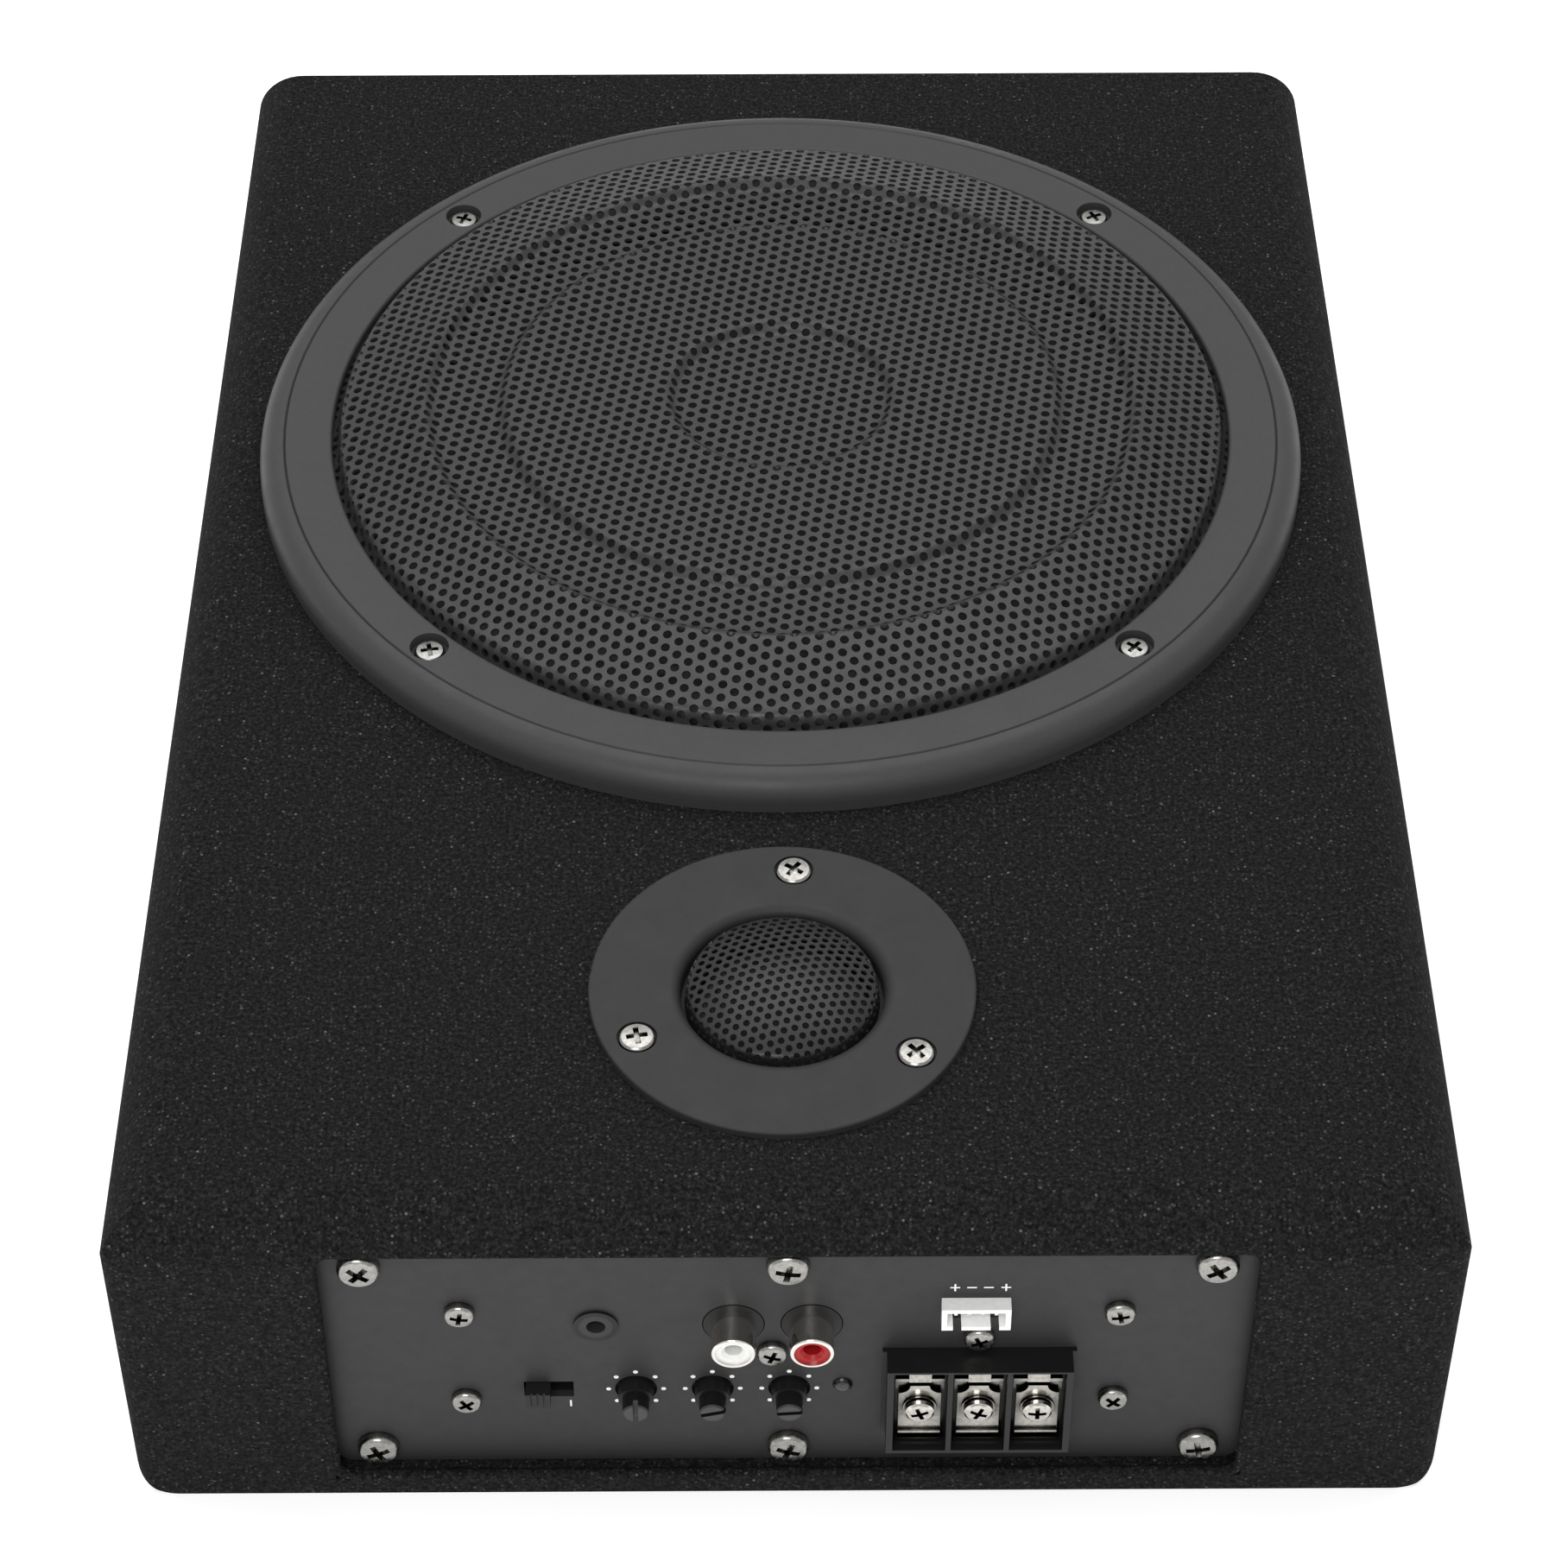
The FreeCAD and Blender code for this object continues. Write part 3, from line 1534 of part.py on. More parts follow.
def power_stage():
    """The transformer core with its winding, the capacitors and the power transistors."""
    left, right = sink_faces()
    level = D.main_board_level + D.circuit_board
    winding = 6.2
    centre = 11.0
    ring = doc.addObject("Part::Torus", "transformer")
    bind(ring, "Radius1", centre)
    bind(ring, "Radius2", winding)
    place(ring, (-24.0, -118.0, level + winding))
    node(ring)

    cans = []
    for index, (x, y) in enumerate(((24, -100), (24, -118), (42, -100), (42, -118))):
        corners = [
            (0, 0),
            (6.3, 0),
            (6.3, 1.6),
            (5.9, 2.2),
            (6.3, 2.8),
            (6.3, 21),
            (5.7, 21.6),
            (0, 21.6),
        ]
        cans.append(lathe(f"capacitor_{index}", corners, (x, y, level)))
    node(group("filter_capacitors", cans))

    packages = []
    for side, face, out in (("left", left, 1), ("right", right, -1)):
        for index, y in enumerate((-146, -130, -114)):
            near, far = face, face + 4.4 * out
            low, high = (near, far) if out > 0 else (far, near)
            packages.append(
                block(
                    f"transistor_{side}_{index}",
                    (low, y - 5.1, level),
                    (high, y + 5.1, level + 16),
                )
            )
    node(group("power_transistors", packages))


# Building and writing


def build():
    """Makes every sub-part."""
    core = rounded_box("wood_core", D.carpet)
    boards(core)
    carpet(core)
    grille_ring()
    grille_mesh()
    woofer_frame()
    woofer_suspension()
    woofer_cone()
    woofer_motor()
    woofer_terminals()
    tweeter_case()
    tweeter_mesh()
    tweeter_driver()
    amp_panel()
    rca_sockets()
    aux_jack()
    mode_switch()
    level_controls()
    power_light()
    input_header()
    power_terminals()
    circuit_boards()
    heat_sinks()
    power_stage()
    fasteners()
    doc.recompute()


def check():
    """Stops before anything is written if an object failed or a sub-part isn't sound."""
    for thing in doc.Objects:
        if any(word in thing.State for word in ("Invalid", "Error")):
            raise RuntimeError(f"{thing.Name} failed: {thing.State}")
    for thing in NODES:
        shape = thing.Shape
        if shape.isNull() or not shape.isValid() or not shape.Solids:
            raise RuntimeError(f"{thing.Label} has no valid solid")


def write():
    """Writes each sub-part under its label."""
    os.makedirs("parts", exist_ok=True)
    for thing in NODES:
        thing.Shape.exportStep(f"parts/{thing.Label}.step")
        count = len(thing.Shape.Solids)
        print(f"{thing.Label}: {count} solid(s), {thing.Shape.Volume / 1000:.2f} cm3")
    print(f"{len(NODES)} sub-parts")


build()
check()
write()
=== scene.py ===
import math

import bmesh
import bpy
from mathutils import Matrix, Vector


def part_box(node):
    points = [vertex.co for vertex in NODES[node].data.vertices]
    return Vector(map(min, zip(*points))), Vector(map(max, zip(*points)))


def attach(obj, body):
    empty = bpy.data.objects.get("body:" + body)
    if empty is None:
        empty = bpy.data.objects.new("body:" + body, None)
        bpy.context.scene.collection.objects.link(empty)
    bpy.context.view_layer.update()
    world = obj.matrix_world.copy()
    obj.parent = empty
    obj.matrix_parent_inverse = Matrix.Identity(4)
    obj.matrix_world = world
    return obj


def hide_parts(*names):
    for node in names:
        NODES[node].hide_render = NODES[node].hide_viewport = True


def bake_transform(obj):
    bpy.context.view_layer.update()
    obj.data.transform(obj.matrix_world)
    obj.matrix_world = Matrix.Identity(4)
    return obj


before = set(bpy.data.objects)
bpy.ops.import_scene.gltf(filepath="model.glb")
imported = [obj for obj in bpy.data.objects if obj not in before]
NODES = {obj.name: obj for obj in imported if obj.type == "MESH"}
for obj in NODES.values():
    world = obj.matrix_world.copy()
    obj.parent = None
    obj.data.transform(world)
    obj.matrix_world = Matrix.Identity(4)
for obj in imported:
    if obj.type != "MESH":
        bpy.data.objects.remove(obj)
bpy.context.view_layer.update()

MM = 0.001
FIXED = "enclosure"
TAU = math.tau

# Metres; pitch, yaw and roll in degrees; millimetres for the sensor and the lens
CAMERA_PLACE = (-0.00246, -0.6535, 0.6689)
CAMERA_ANGLES = (44.96, 0.26, -0.06)
CAMERA_SENSOR = 36
CAMERA_LENS = 96.2
WORLD_LIGHT = 0.75
FLOOR_REACH = 6
FLOOR_GLOW = 0.33

# Radians that Blender's wave texture goes through in one unit, at a scale of one
WAVE_UNIT = 20

FELT_DARK = (0.0035, 0.0035, 0.0035)
FELT_MID = (0.0105, 0.0105, 0.0106)
FELT_PALE = (0.028, 0.028, 0.0282)
FELT_END = (0.06, 0.06, 0.06)
FELT_GLINT = (0.14, 0.14, 0.14)


# Camera, light and floor


def camera():
    """Puts the camera where the photograph was taken from: high in front, looking down at 45 degrees."""
    pitch, yaw, roll = (math.radians(angle) for angle in CAMERA_ANGLES)
    ahead = Vector(
        (math.sin(yaw) * math.cos(pitch), math.cos(yaw) * math.cos(pitch), -math.sin(pitch))
    )
    level = Vector((math.cos(yaw), -math.sin(yaw), 0))
    over = level.cross(ahead)
    across = level * math.cos(roll) + over * math.sin(roll)
    up = over * math.cos(roll) - level * math.sin(roll)
    data = bpy.data.cameras.new("camera")
    data.sensor_width = CAMERA_SENSOR
    data.lens = CAMERA_LENS
    data.clip_start, data.clip_end = 0.05, 20
    held = bpy.data.objects.new("camera", data)
    axes = Matrix((across, up, -ahead)).transposed().to_4x4()
    held.matrix_world = Matrix.Translation(CAMERA_PLACE) @ axes
    bpy.context.scene.collection.objects.link(held)
    bpy.context.scene.camera = held


def softbox(name, place, target, size, power):
    """A rectangular area light that faces a point."""
    data = bpy.data.lights.new(name, "AREA")
    data.shape = "RECTANGLE"
    data.size, data.size_y = size
    data.energy = power
    lamp = bpy.data.objects.new(name, data)
    lamp.location = place
    lamp.rotation_mode = "QUATERNION"
    lamp.rotation_quaternion = (Vector(target) - Vector(place)).to_track_quat("-Z", "Y")
    bpy.context.scene.collection.objects.link(lamp)


def studio():
    """A soft lamp above and behind, another high in front, and a pale floor."""
    scene = bpy.context.scene
    scene.view_settings.view_transform = "Standard"
    world = bpy.data.worlds.new("studio")
    world.use_nodes = True
    background = world.node_tree.nodes["Background"]
    background.inputs["Color"].default_value = (1, 1, 1, 1)
    background.inputs["Strength"].default_value = WORLD_LIGHT
    scene.world = world
    softbox("overhead", place=(0.0, 0.55, 1.5), target=(0, 0, 0), size=(1.6, 1.2), power=13)
    softbox("front", place=(-0.25, -1.25, 1.4), target=(0, 0, 0.05), size=(0.8, 0.6), power=12)

    mesh = bpy.data.meshes.new("floor")
    sides = ((-1, -1), (1, -1), (1, 1), (-1, 1))
    corners = [(x * FLOOR_REACH, y * FLOOR_REACH, 0) for x, y in sides]
    mesh.from_pydata(corners, [], [(0, 1, 2, 3)])
    floor = bpy.data.objects.new("floor", mesh)
    scene.collection.objects.link(floor)
    look = Look("floor_paper")
    tone = look.noise(3, 2)
    look.colour(look.ramp(tone, (0, (0.9, 0.9, 0.9)), (1, (0.93, 0.93, 0.93))))
    look.surface(roughness=0.9, specular=0.1)
    look.glow((1, 1, 1), FLOOR_GLOW)
    mesh.materials.append(look.material)


# Materials


class Look:
    """A node material built up from procedural textures, in metres of the piece's own frame."""

    def __init__(self, name):
        self.material = bpy.data.materials.new(name)
        self.material.use_nodes = True
        self.tree = self.material.node_tree
        self.shader = self.tree.nodes["Principled BSDF"]
        self.place = self.add("TexCoord").outputs["Object"]
        self.heights = None

    def add(self, kind):
        """A new shader node."""
        return self.tree.nodes.new("ShaderNode" + kind)

    def feed(self, socket, value):
        """Links or sets a socket."""
        if isinstance(value, bpy.types.NodeSocket):
            self.tree.links.new(value, socket)
        else:
            socket.default_value = value

    def stretched(self, x, y, z, turn=0):
        """The place coordinates scaled along each axis, and then turned about each axis."""
        mapping = self.add("Mapping")
        self.feed(mapping.inputs["Vector"], self.place)
        mapping.inputs["Rotation"].default_value = (turn, turn * 0.7, turn * 1.3)
        mapping.inputs["Scale"].default_value = (x, y, z)
        return mapping.outputs["Vector"]

    def noise(self, scale, detail=3, rough=0.55, vector=None):
        """Soft random noise, with that many periods to the metre."""
        made = self.add("TexNoise")
        self.feed(made.inputs["Vector"], vector or self.place)
        made.inputs["Scale"].default_value = scale
        made.inputs["Detail"].default_value = detail
        made.inputs["Roughness"].default_value = rough
        return made.outputs["Fac"]

    def cells(self, scale):
        """The distance from random points, with that many cells to the metre."""
        made = self.add("TexVoronoi")
        self.feed(made.inputs["Vector"], self.place)
        made.inputs["Scale"].default_value = scale
        return made.outputs["Distance"]

    def specks(self, scale, share, size):
        """Spots of a size given in cells, lit with a random strength in a share of the cells."""
        made = self.add("TexVoronoi")
        self.feed(made.inputs["Vector"], self.place)
        made.inputs["Scale"].default_value = scale
        spot = self.ramp(made.outputs["Distance"], (size * 0.4, 1.0), (size, 0.0))
        parts = self.add("SeparateColor")
        self.feed(parts.inputs["Color"], made.outputs["Color"])
        lit = self.ramp(parts.outputs["Red"], (1 - share, 0.0), (1.0, 1.0))
        return self.maths("MULTIPLY", spot, lit)

    def away_from(self, centre, reach):
        """The distance from a line along Y through a point, as a share of reach."""
        flat = self.add("VectorMath")
        flat.operation = "MULTIPLY"
        self.feed(flat.inputs[0], self.add("NewGeometry").outputs["Position"])
        flat.inputs[1].default_value = (1, 0, 1)
        gap = self.add("VectorMath")
        gap.operation = "DISTANCE"
        self.feed(gap.inputs[0], flat.outputs["Vector"])
        gap.inputs[1].default_value = (centre.x, 0, centre.z)
        return self.maths("DIVIDE", gap.outputs["Value"], reach)

    def painted_front_light(self):
        """One on faces that look along -Y, and nought on those that look sideways: a mask for painting
        light on faces toward the front.
        """
        geometry = self.add("NewGeometry")
        parts = self.add("SeparateXYZ")
        self.feed(parts.inputs["Vector"], geometry.outputs["Normal"])
        return self.maths("MULTIPLY", parts.outputs["Y"], -1.0)

    def occlusion_shade(self, reach):
        """How open the surface is, by ambient occlusion within reach; it is used to paint shade into
        corners and recesses.
        """
        made = self.add("AmbientOcclusion")
        made.samples = 8
        made.inputs["Distance"].default_value = reach
        return made.outputs["AO"]

    def ramp(self, value, *stops):
        """Colours or greys along a value's range."""
        made = self.add("ValToRGB")
        self.feed(made.inputs["Fac"], value)
        elements = made.color_ramp.elements
        while len(elements) < len(stops):
            elements.new(0.5)
        for element, (at, shade) in zip(elements, stops):
            element.position = at
            element.color = (*shade, 1) if isinstance(shade, tuple) else (shade, shade, shade, 1)
        return made.outputs["Color"]

    def maths(self, operation, first, second):
        """A sum, product or other simple operation."""
        made = self.add("Math")
        made.operation = operation
        self.feed(made.inputs[0], first)
        self.feed(made.inputs[1], second)
        return made.outputs[0]

    def blend(self, amount, first, second):
        """Two colours mixed by an amount."""
        made = self.add("Mix")
        made.data_type = "RGBA"
        self.feed(made.inputs["Factor"], amount)
        self.feed(made.inputs["A"], first)
        self.feed(made.inputs["B"], second)
        return made.outputs["Result"]

    def colour(self, value):
        """Sets the base colour."""
        if isinstance(value, tuple):
            value = (*value, 1)
        self.feed(self.shader.inputs["Base Color"], value)

    def bump(self, height, depth, strength=1.0):
        """Adds surface relief of that depth in metres, on top of any before."""
        made = self.add("Bump")
        made.inputs["Strength"].default_value = strength
        made.inputs["Distance"].default_value = depth
        self.feed(made.inputs["Height"], height)
        if self.heights is not None:
            self.feed(made.inputs["Normal"], self.heights)
        self.heights = made.outputs["Normal"]
        self.feed(self.shader.inputs["Normal"], self.heights)

    def glow(self, shade, strength):
        """Light given off by the surface itself."""
        self.shader.inputs["Emission Color"].default_value = (*shade, 1)
        self.shader.inputs["Emission Strength"].default_value = strength

    def surface(self, roughness=0.5, metallic=0.0, specular=0.5, coat=0.0, sheen=0.0):
        """Sets the shader's plain values; roughness may be a socket."""
        self.feed(self.shader.inputs["Roughness"], roughness)
        self.shader.inputs["Metallic"].default_value = metallic
        self.shader.inputs["Specular IOR Level"].default_value = specular
        self.shader.inputs["Coat Weight"].default_value = coat
        self.shader.inputs["Sheen Weight"].default_value = sheen
        self.shader.inputs["Sheen Roughness"].default_value = 0.6
        return self


def scaled(base, share):
    """A colour with each part multiplied by a share."""
    return tuple(part * share for part in base)


def speckled(look, base, spread, scale):
    """A colour that varies a little over the surface, by a share of itself."""
    tone = look.noise(scale, 3)
    look.colour(look.ramp(tone, (0.3, scaled(base, 1 - spread)), (0.7, scaled(base, 1 + spread))))


def uneven(look, roughness, spread, scale):
    """A roughness that varies over the surface."""
    tone = look.noise(scale, 3)
    return look.ramp(tone, (0.3, roughness - spread), (0.7, roughness + spread))


def spark_grain(look):
    """The fine spark-eroded grain of a moulding tool."""
    look.bump(look.noise(5200, 3), 0.00003, 0.6)


def felt(name):
    """Black needled felt: a matted ground with pale fibre ends and dark pits."""
    look = Look(name)
    matted = look.noise(1500, 3, 0.6)
    tufts = look.noise(1000, 5, 0.72)
    ends = look.specks(1150, share=0.45, size=0.38)
    glints = look.specks(800, share=0.14, size=0.27)
    ground = look.ramp(
        look.maths("ADD", look.maths("MULTIPLY", matted, 0.5), look.maths("MULTIPLY", tufts, 0.5)),
        (0.38, FELT_DARK),
        (0.5, FELT_MID),
        (0.64, FELT_PALE),
    )
    with_ends = look.blend(ends, ground, (*FELT_END, 1))
    look.colour(look.blend(glints, with_ends, (*FELT_GLINT, 1)))
    look.bump(tufts, 0.0005)
    look.surface(roughness=0.95, specular=0.08)
    return look.material


def moulded(name, base, roughness):
    """Moulded plastic with a fine grain and faint waves."""
    look = Look(name)
    speckled(look, base, 0.05, 900)
    spark_grain(look)
    look.bump(look.noise(60, 2), 0.00005, 0.3)
    look.surface(uneven(look, roughness, 0.05, 140), specular=0.25)
    return look.material


def flush_fitting(name, node, base, rim, reach, share, roughness):
    """Plastic let into the panel, with a painted shadow of the gap as a dark ring round its rim."""
    look = Look(name)
    grain = look.noise(900, 3)
    face = look.ramp(grain, (0.3, scaled(base, 0.93)), (0.7, base))
    # Painted shadow of the gap: the colour turns to the dark rim colour beyond that share of reach from
    # the axis
    gap_shadow = look.ramp(look.away_from(centre_of(node), reach), (share, 0.0), (share + 0.06, 1.0))
    look.colour(look.blend(gap_shadow, face, (*rim, 1)))
    spark_grain(look)
    look.surface(uneven(look, roughness, 0.05, 140), specular=0.3)
    return look.material


def shaft(name, side, end):
    """A control's shaft: black round the side, with painted light making the end that faces the front
    paler.
    """
    look = Look(name)
    grain = look.noise(1200, 3)
    sleeve = look.ramp(grain, (0.3, scaled(side, 0.8)), (0.7, side))
    face = look.ramp(grain, (0.3, scaled(end, 0.9)), (0.7, end))
    # Painted light: faces that look to the front take the paler end colour
    look.colour(look.blend(look.ramp(look.painted_front_light(), (0.6, 0.0), (0.8, 1.0)), sleeve, face))
    spark_grain(look)
    look.surface(uneven(look, 0.45, 0.05, 140), specular=0.2)
    return look.material


def powder(name, base, roughness, specular=0.25):
    """Powder-coated sheet steel: a very fine orange peel."""
    look = Look(name)
    speckled(look, base, 0.06, 2500)
    look.bump(look.noise(1900, 4, 0.6), 0.00004, 0.6)
    look.surface(uneven(look, roughness, 0.06, 300), specular=specular)
    return look.material


def metal(name, base, roughness, lines=None):
    """Plated or bare metal with small stains, and fine lines along one axis if asked."""
    look = Look(name)
    speckled(look, base, 0.12, 700)
    if lines is not None:
        streaks = look.noise(1500, 3, 0.6, look.stretched(*lines))
        look.bump(streaks, 0.00002, 0.5)
    look.bump(look.noise(2600, 3), 0.00002, 0.4)
    look.surface(uneven(look, roughness, 0.08, 900), metallic=1.0)
    return look.material


def turned(name, base, roughness, reach=1.1 * MM, closed=0.42, opened=0.86):
    """Plated steel with painted shade: darker in the cross, along the foot of the head and in other
    recesses, by ambient occlusion.
    """
    look = Look(name)
    tone = look.noise(1100, 4, 0.7)
    plate = look.ramp(tone, (0.35, scaled(base, 0.7)), (0.6, base))
    unshaded_share = look.ramp(look.occlusion_shade(reach), (closed, 0.0), (opened, 1.0))
    # Painted shade: the plate goes to near black where ambient occlusion finds the surface closed in
    look.colour(look.blend(unshaded_share, (0.006, 0.006, 0.006, 1), plate))
    look.bump(look.noise(3200, 3), 0.000012, 0.5)
    look.surface(uneven(look, roughness, 0.08, 1300), metallic=1.0)
    return look.material


def plated(name, base):
    """Bright nickel plate with faint ripples and a few stains."""
    look = Look(name)
    speckled(look, base, 0.08, 900)
    look.bump(look.noise(700, 2), 0.00003, 0.4)
    look.surface(uneven(look, 0.13, 0.05, 1200), metallic=1.0)
    return look.material


def fibreboard(name):
    """Raw MDF: brown with fine flecks."""
    look = Look(name)
    flecks = look.noise(1300, 5, 0.7)
    look.colour(look.ramp(flecks, (0.35, (0.3, 0.19, 0.1)), (0.65, (0.52, 0.38, 0.23))))
    look.bump(flecks, 0.0001, 0.5)
    look.surface(roughness=0.85, specular=0.2)
    return look.material


def rubbery(name, base=(0.02, 0.02, 0.021), roughness=0.55):
    """Rubber or foam with fine pores."""
    look = Look(name)
    speckled(look, base, 0.15, 1200)
    look.bump(look.noise(2600, 4, 0.7), 0.00006, 0.6)
    look.surface(uneven(look, roughness, 0.08, 200), specular=0.35)
    return look.material


def woven(name, base, pitch=0.0009):
    """Stiffened open-weave cloth."""
    look = Look(name)
    bands = []
    for direction in ("X", "Y"):
        wave = look.add("TexWave")
        wave.bands_direction = direction
        look.feed(wave.inputs["Vector"], look.place)
        wave.inputs["Scale"].default_value = TAU / pitch / WAVE_UNIT
        wave.inputs["Distortion"].default_value = 0.4
        bands.append(wave.outputs["Fac"])
    weave = look.maths("MULTIPLY", *bands)
    look.colour(look.ramp(weave, (0.1, scaled(base, 0.45)), (0.7, base)))
    look.bump(weave, 0.0001, 0.8)
    look.surface(roughness=0.85, specular=0.2, sheen=0.1)
    return look.material


def pressed_paper(name, base):
    """Pulp paper with short fibres."""
    look = Look(name)
    fibres = look.noise(700, 5, 0.75, look.stretched(1, 2.5, 1, 0.8))
    look.colour(look.ramp(fibres, (0.35, scaled(base, 0.7)), (0.65, scaled(base, 1.4))))
    look.bump(fibres, 0.00012, 0.7)
    look.surface(roughness=0.8, specular=0.25)
    return look.material


def wound(name, rate=2600, upright=True):
    """Enamelled copper wire in close turns, whose angle grows by rate radians to the metre."""
    look = Look(name)
    base = (0.6, 0.22, 0.07)
    wave = look.add("TexWave")
    wave.bands_direction = "Z" if upright else "X"
    look.feed(wave.inputs["Vector"], look.place)
    wave.inputs["Scale"].default_value = rate / WAVE_UNIT
    wave.inputs["Distortion"].default_value = 0.3
    rows = wave.outputs["Fac"]
    look.colour(look.ramp(rows, (0.1, scaled(base, 0.4)), (0.6, base)))
    look.bump(rows, 0.0002, 0.9)
    look.surface(roughness=0.3, metallic=0.85, coat=0.3)
    return look.material


def laminate(name):
    """A circuit board: green mask over copper tracks."""
    look = Look(name)
    tracks = look.cells(240)
    look.colour(look.ramp(tracks, (0.42, (0.008, 0.06, 0.025)), (0.5, (0.02, 0.13, 0.05))))
    look.bump(tracks, 0.00004, 0.5)
    look.surface(uneven(look, 0.3, 0.08, 400), coat=0.4)
    return look.material


def printed(name):
    """White screen-printed ink."""
    look = Look(name)
    speckled(look, (0.78, 0.78, 0.77), 0.08, 6000)
    look.bump(look.noise(7000, 3), 0.00001, 0.5)
    look.surface(roughness=0.55, specular=0.3)
    return look.material


# Mesh helpers


def shade(mesh, angle=35):
    """Smooth shading, with edges sharper than the angle kept crisp."""
    mesh.polygons.foreach_set("use_smooth", [True] * len(mesh.polygons))
    mesh.set_sharp_from_angle(angle=math.radians(angle))


def make_piece(name, mesh, material, nodes=(), body=FIXED):
    """Adds a mesh as a finished piece that rides on a body."""
    mesh.materials.clear()
    mesh.materials.append(material)
    made = bpy.data.objects.new(name, mesh)
    bpy.context.scene.collection.objects.link(made)
    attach(made, body)
    if nodes:
        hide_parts(*nodes)


def applied(mesh, *modifiers):
    """The mesh after modifiers, each given as (type, {setting: value})."""
    holder = bpy.data.objects.new("holder", mesh)
    bpy.context.scene.collection.objects.link(holder)
    for kind, settings in modifiers:
        modifier = holder.modifiers.new(kind.lower(), kind)
        for key, value in settings.items():
            setattr(modifier, key, value)
    graph = bpy.context.evaluated_depsgraph_get()
    made = bpy.data.meshes.new_from_object(holder.evaluated_get(graph))
    bpy.data.objects.remove(holder)
    return made


def centre_of(node):
    """The middle of a CAD node's box."""
    low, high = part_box(node)
    return (low + high) / 2


# The perforated sheets


def rounded_profile(points, blur, step):
    """Samples a profile of (radius, height) points by its own length, with its bends rounded."""
    lengths = [0.0]
    for (r0, z0), (r1, z1) in zip(points, points[1:]):
        lengths.append(lengths[-1] + math.hypot(r1 - r0, z1 - z0))
    total = lengths[-1]

    def at(length):
        length = min(max(length, 0.0), total)
        for start, end, first, last in zip(lengths, lengths[1:], points, points[1:]):
            if length <= end:
                share = (length - start) / (end - start)
                return tuple(a + (b - a) * share for a, b in zip(first, last))
        return points[-1]

    count = int(total / step) + 1
    samples = []
    for index in range(count + 1):
        length = total * index / count
        reach = min(blur, length, total - length)
        near = [at(length + reach * offset) for offset in (-1, -0.5, 0, 0.5, 1)]
        samples.append(tuple(sum(part) / len(near) for part in zip(*near)))

    def place(length):
        share = min(max(length / total, 0.0), 1.0) * count
        index = min(int(share), count - 1)
        first, last = samples[index], samples[index + 1]
        return tuple(a + (b - a) * (share - index) for a, b in zip(first, last))

    return place, total


def perforated(centre, place, total, pitch, hole, turn, holes_to, sheet):
    """A formed sheet with a honeycomb of round holes, laid out flat and then pressed to shape."""
    mesh = bmesh.new()
    known = {}

    def vertex(u, v):
        reach = math.hypot(u, v)
        if reach > total:
            u, v, reach = u * total / reach, v * total / reach, total
        key = (round(u / pitch * 50), round(v / pitch * 50))
        if key not in known:
            radius, height = place(reach)
            share = radius / reach if reach > 1e-9 else 1.0
            known[key] = mesh.verts.new(
                (centre.x + u * share, centre.y + v * share, centre.z + height)
            )
        return known[key]

    def face(corners):
        distinct = list(dict.fromkeys(corners))
        if len(distinct) > 2 and mesh.faces.get(distinct) is None:
            mesh.faces.new(distinct)

    sides = 12
    spokes = [turn + TAU * index / sides for index in range(sides)]
    edge = [pitch / 2 if index % 2 == 0 else pitch / math.sqrt(3) for index in range(sides)]
    count = int(total / pitch * 1.2) + 2
    for i in range(-2 * count, 2 * count + 1):
        for j in range(-count, count + 1):
            u = pitch * (i + j / 2)
            v = pitch * j * math.sqrt(3) / 2
            u, v = (
                u * math.cos(turn) - v * math.sin(turn),
                u * math.sin(turn) + v * math.cos(turn),
            )
            reach = math.hypot(u, v)
            if reach > total + pitch * 0.5:
                continue
            around = [
                vertex(u + far * math.cos(angle), v + far * math.sin(angle))
                for far, angle in zip(edge, spokes)
            ]
            if reach > holes_to:
                face(around)
                continue
            rim = [
                vertex(u + hole / 2 * math.cos(angle), v + hole / 2 * math.sin(angle))
                for angle in spokes
            ]
            for k in range(sides):
                n = (k + 1) % sides
                face([around[k], around[n], rim[n], rim[k]])
    made = bpy.data.meshes.new("perforated")
    bmesh.ops.recalc_face_normals(mesh, faces=mesh.faces)
    if sum(f.normal.z for f in mesh.faces) < 0:
        bmesh.ops.reverse_faces(mesh, faces=mesh.faces)
    mesh.to_mesh(made)
    mesh.free()
    return applied(made, ("SOLIDIFY", {"thickness": sheet, "offset": -1.0}))


def grille_mesh():
    """The woofer's mesh: a low wall, a falling ring, a groove, a second ring and a sunk centre."""
    low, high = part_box("grille_mesh")
    middle = (low + high) / 2
    rim = (high.x - low.x) / 2
    rim_height = low.z + 0.9 * MM - middle.z
    crown = high.z - middle.z
    groove = crown - 2.0 * MM
    edge = crown - 4.8 * MM
    pitch, hole, turn, border, sheet = 3.03 * MM, 1.95 * MM, math.radians(22.2), 2.4 * MM, 0.7 * MM
    points = [
        (0, groove),
        (22.4 * MM, groove),
        (24.2 * MM, crown),
        (58.6 * MM, crown),
        (60.6 * MM, groove),
        (74.0 * MM, groove),
        (76.0 * MM, crown),
        (92.0 * MM, edge),
        (93.6 * MM, edge - 0.4 * MM),
        (94.3 * MM, edge - 1.0 * MM),
        (94.9 * MM, rim_height + 0.9 * MM),
        (95.8 * MM, rim_height),
        (rim, rim_height),
    ]
    place, total = rounded_profile(points, 0.8 * MM, 0.15 * MM)
    mesh = perforated(middle, place, total, pitch, hole, turn, total - border, sheet)
    shade(mesh, 50)
    look = powder("mesh_steel", (0.025, 0.025, 0.0254), 0.4, 0.36)
    make_piece("grille_perforated", mesh, look, ["grille_mesh"])


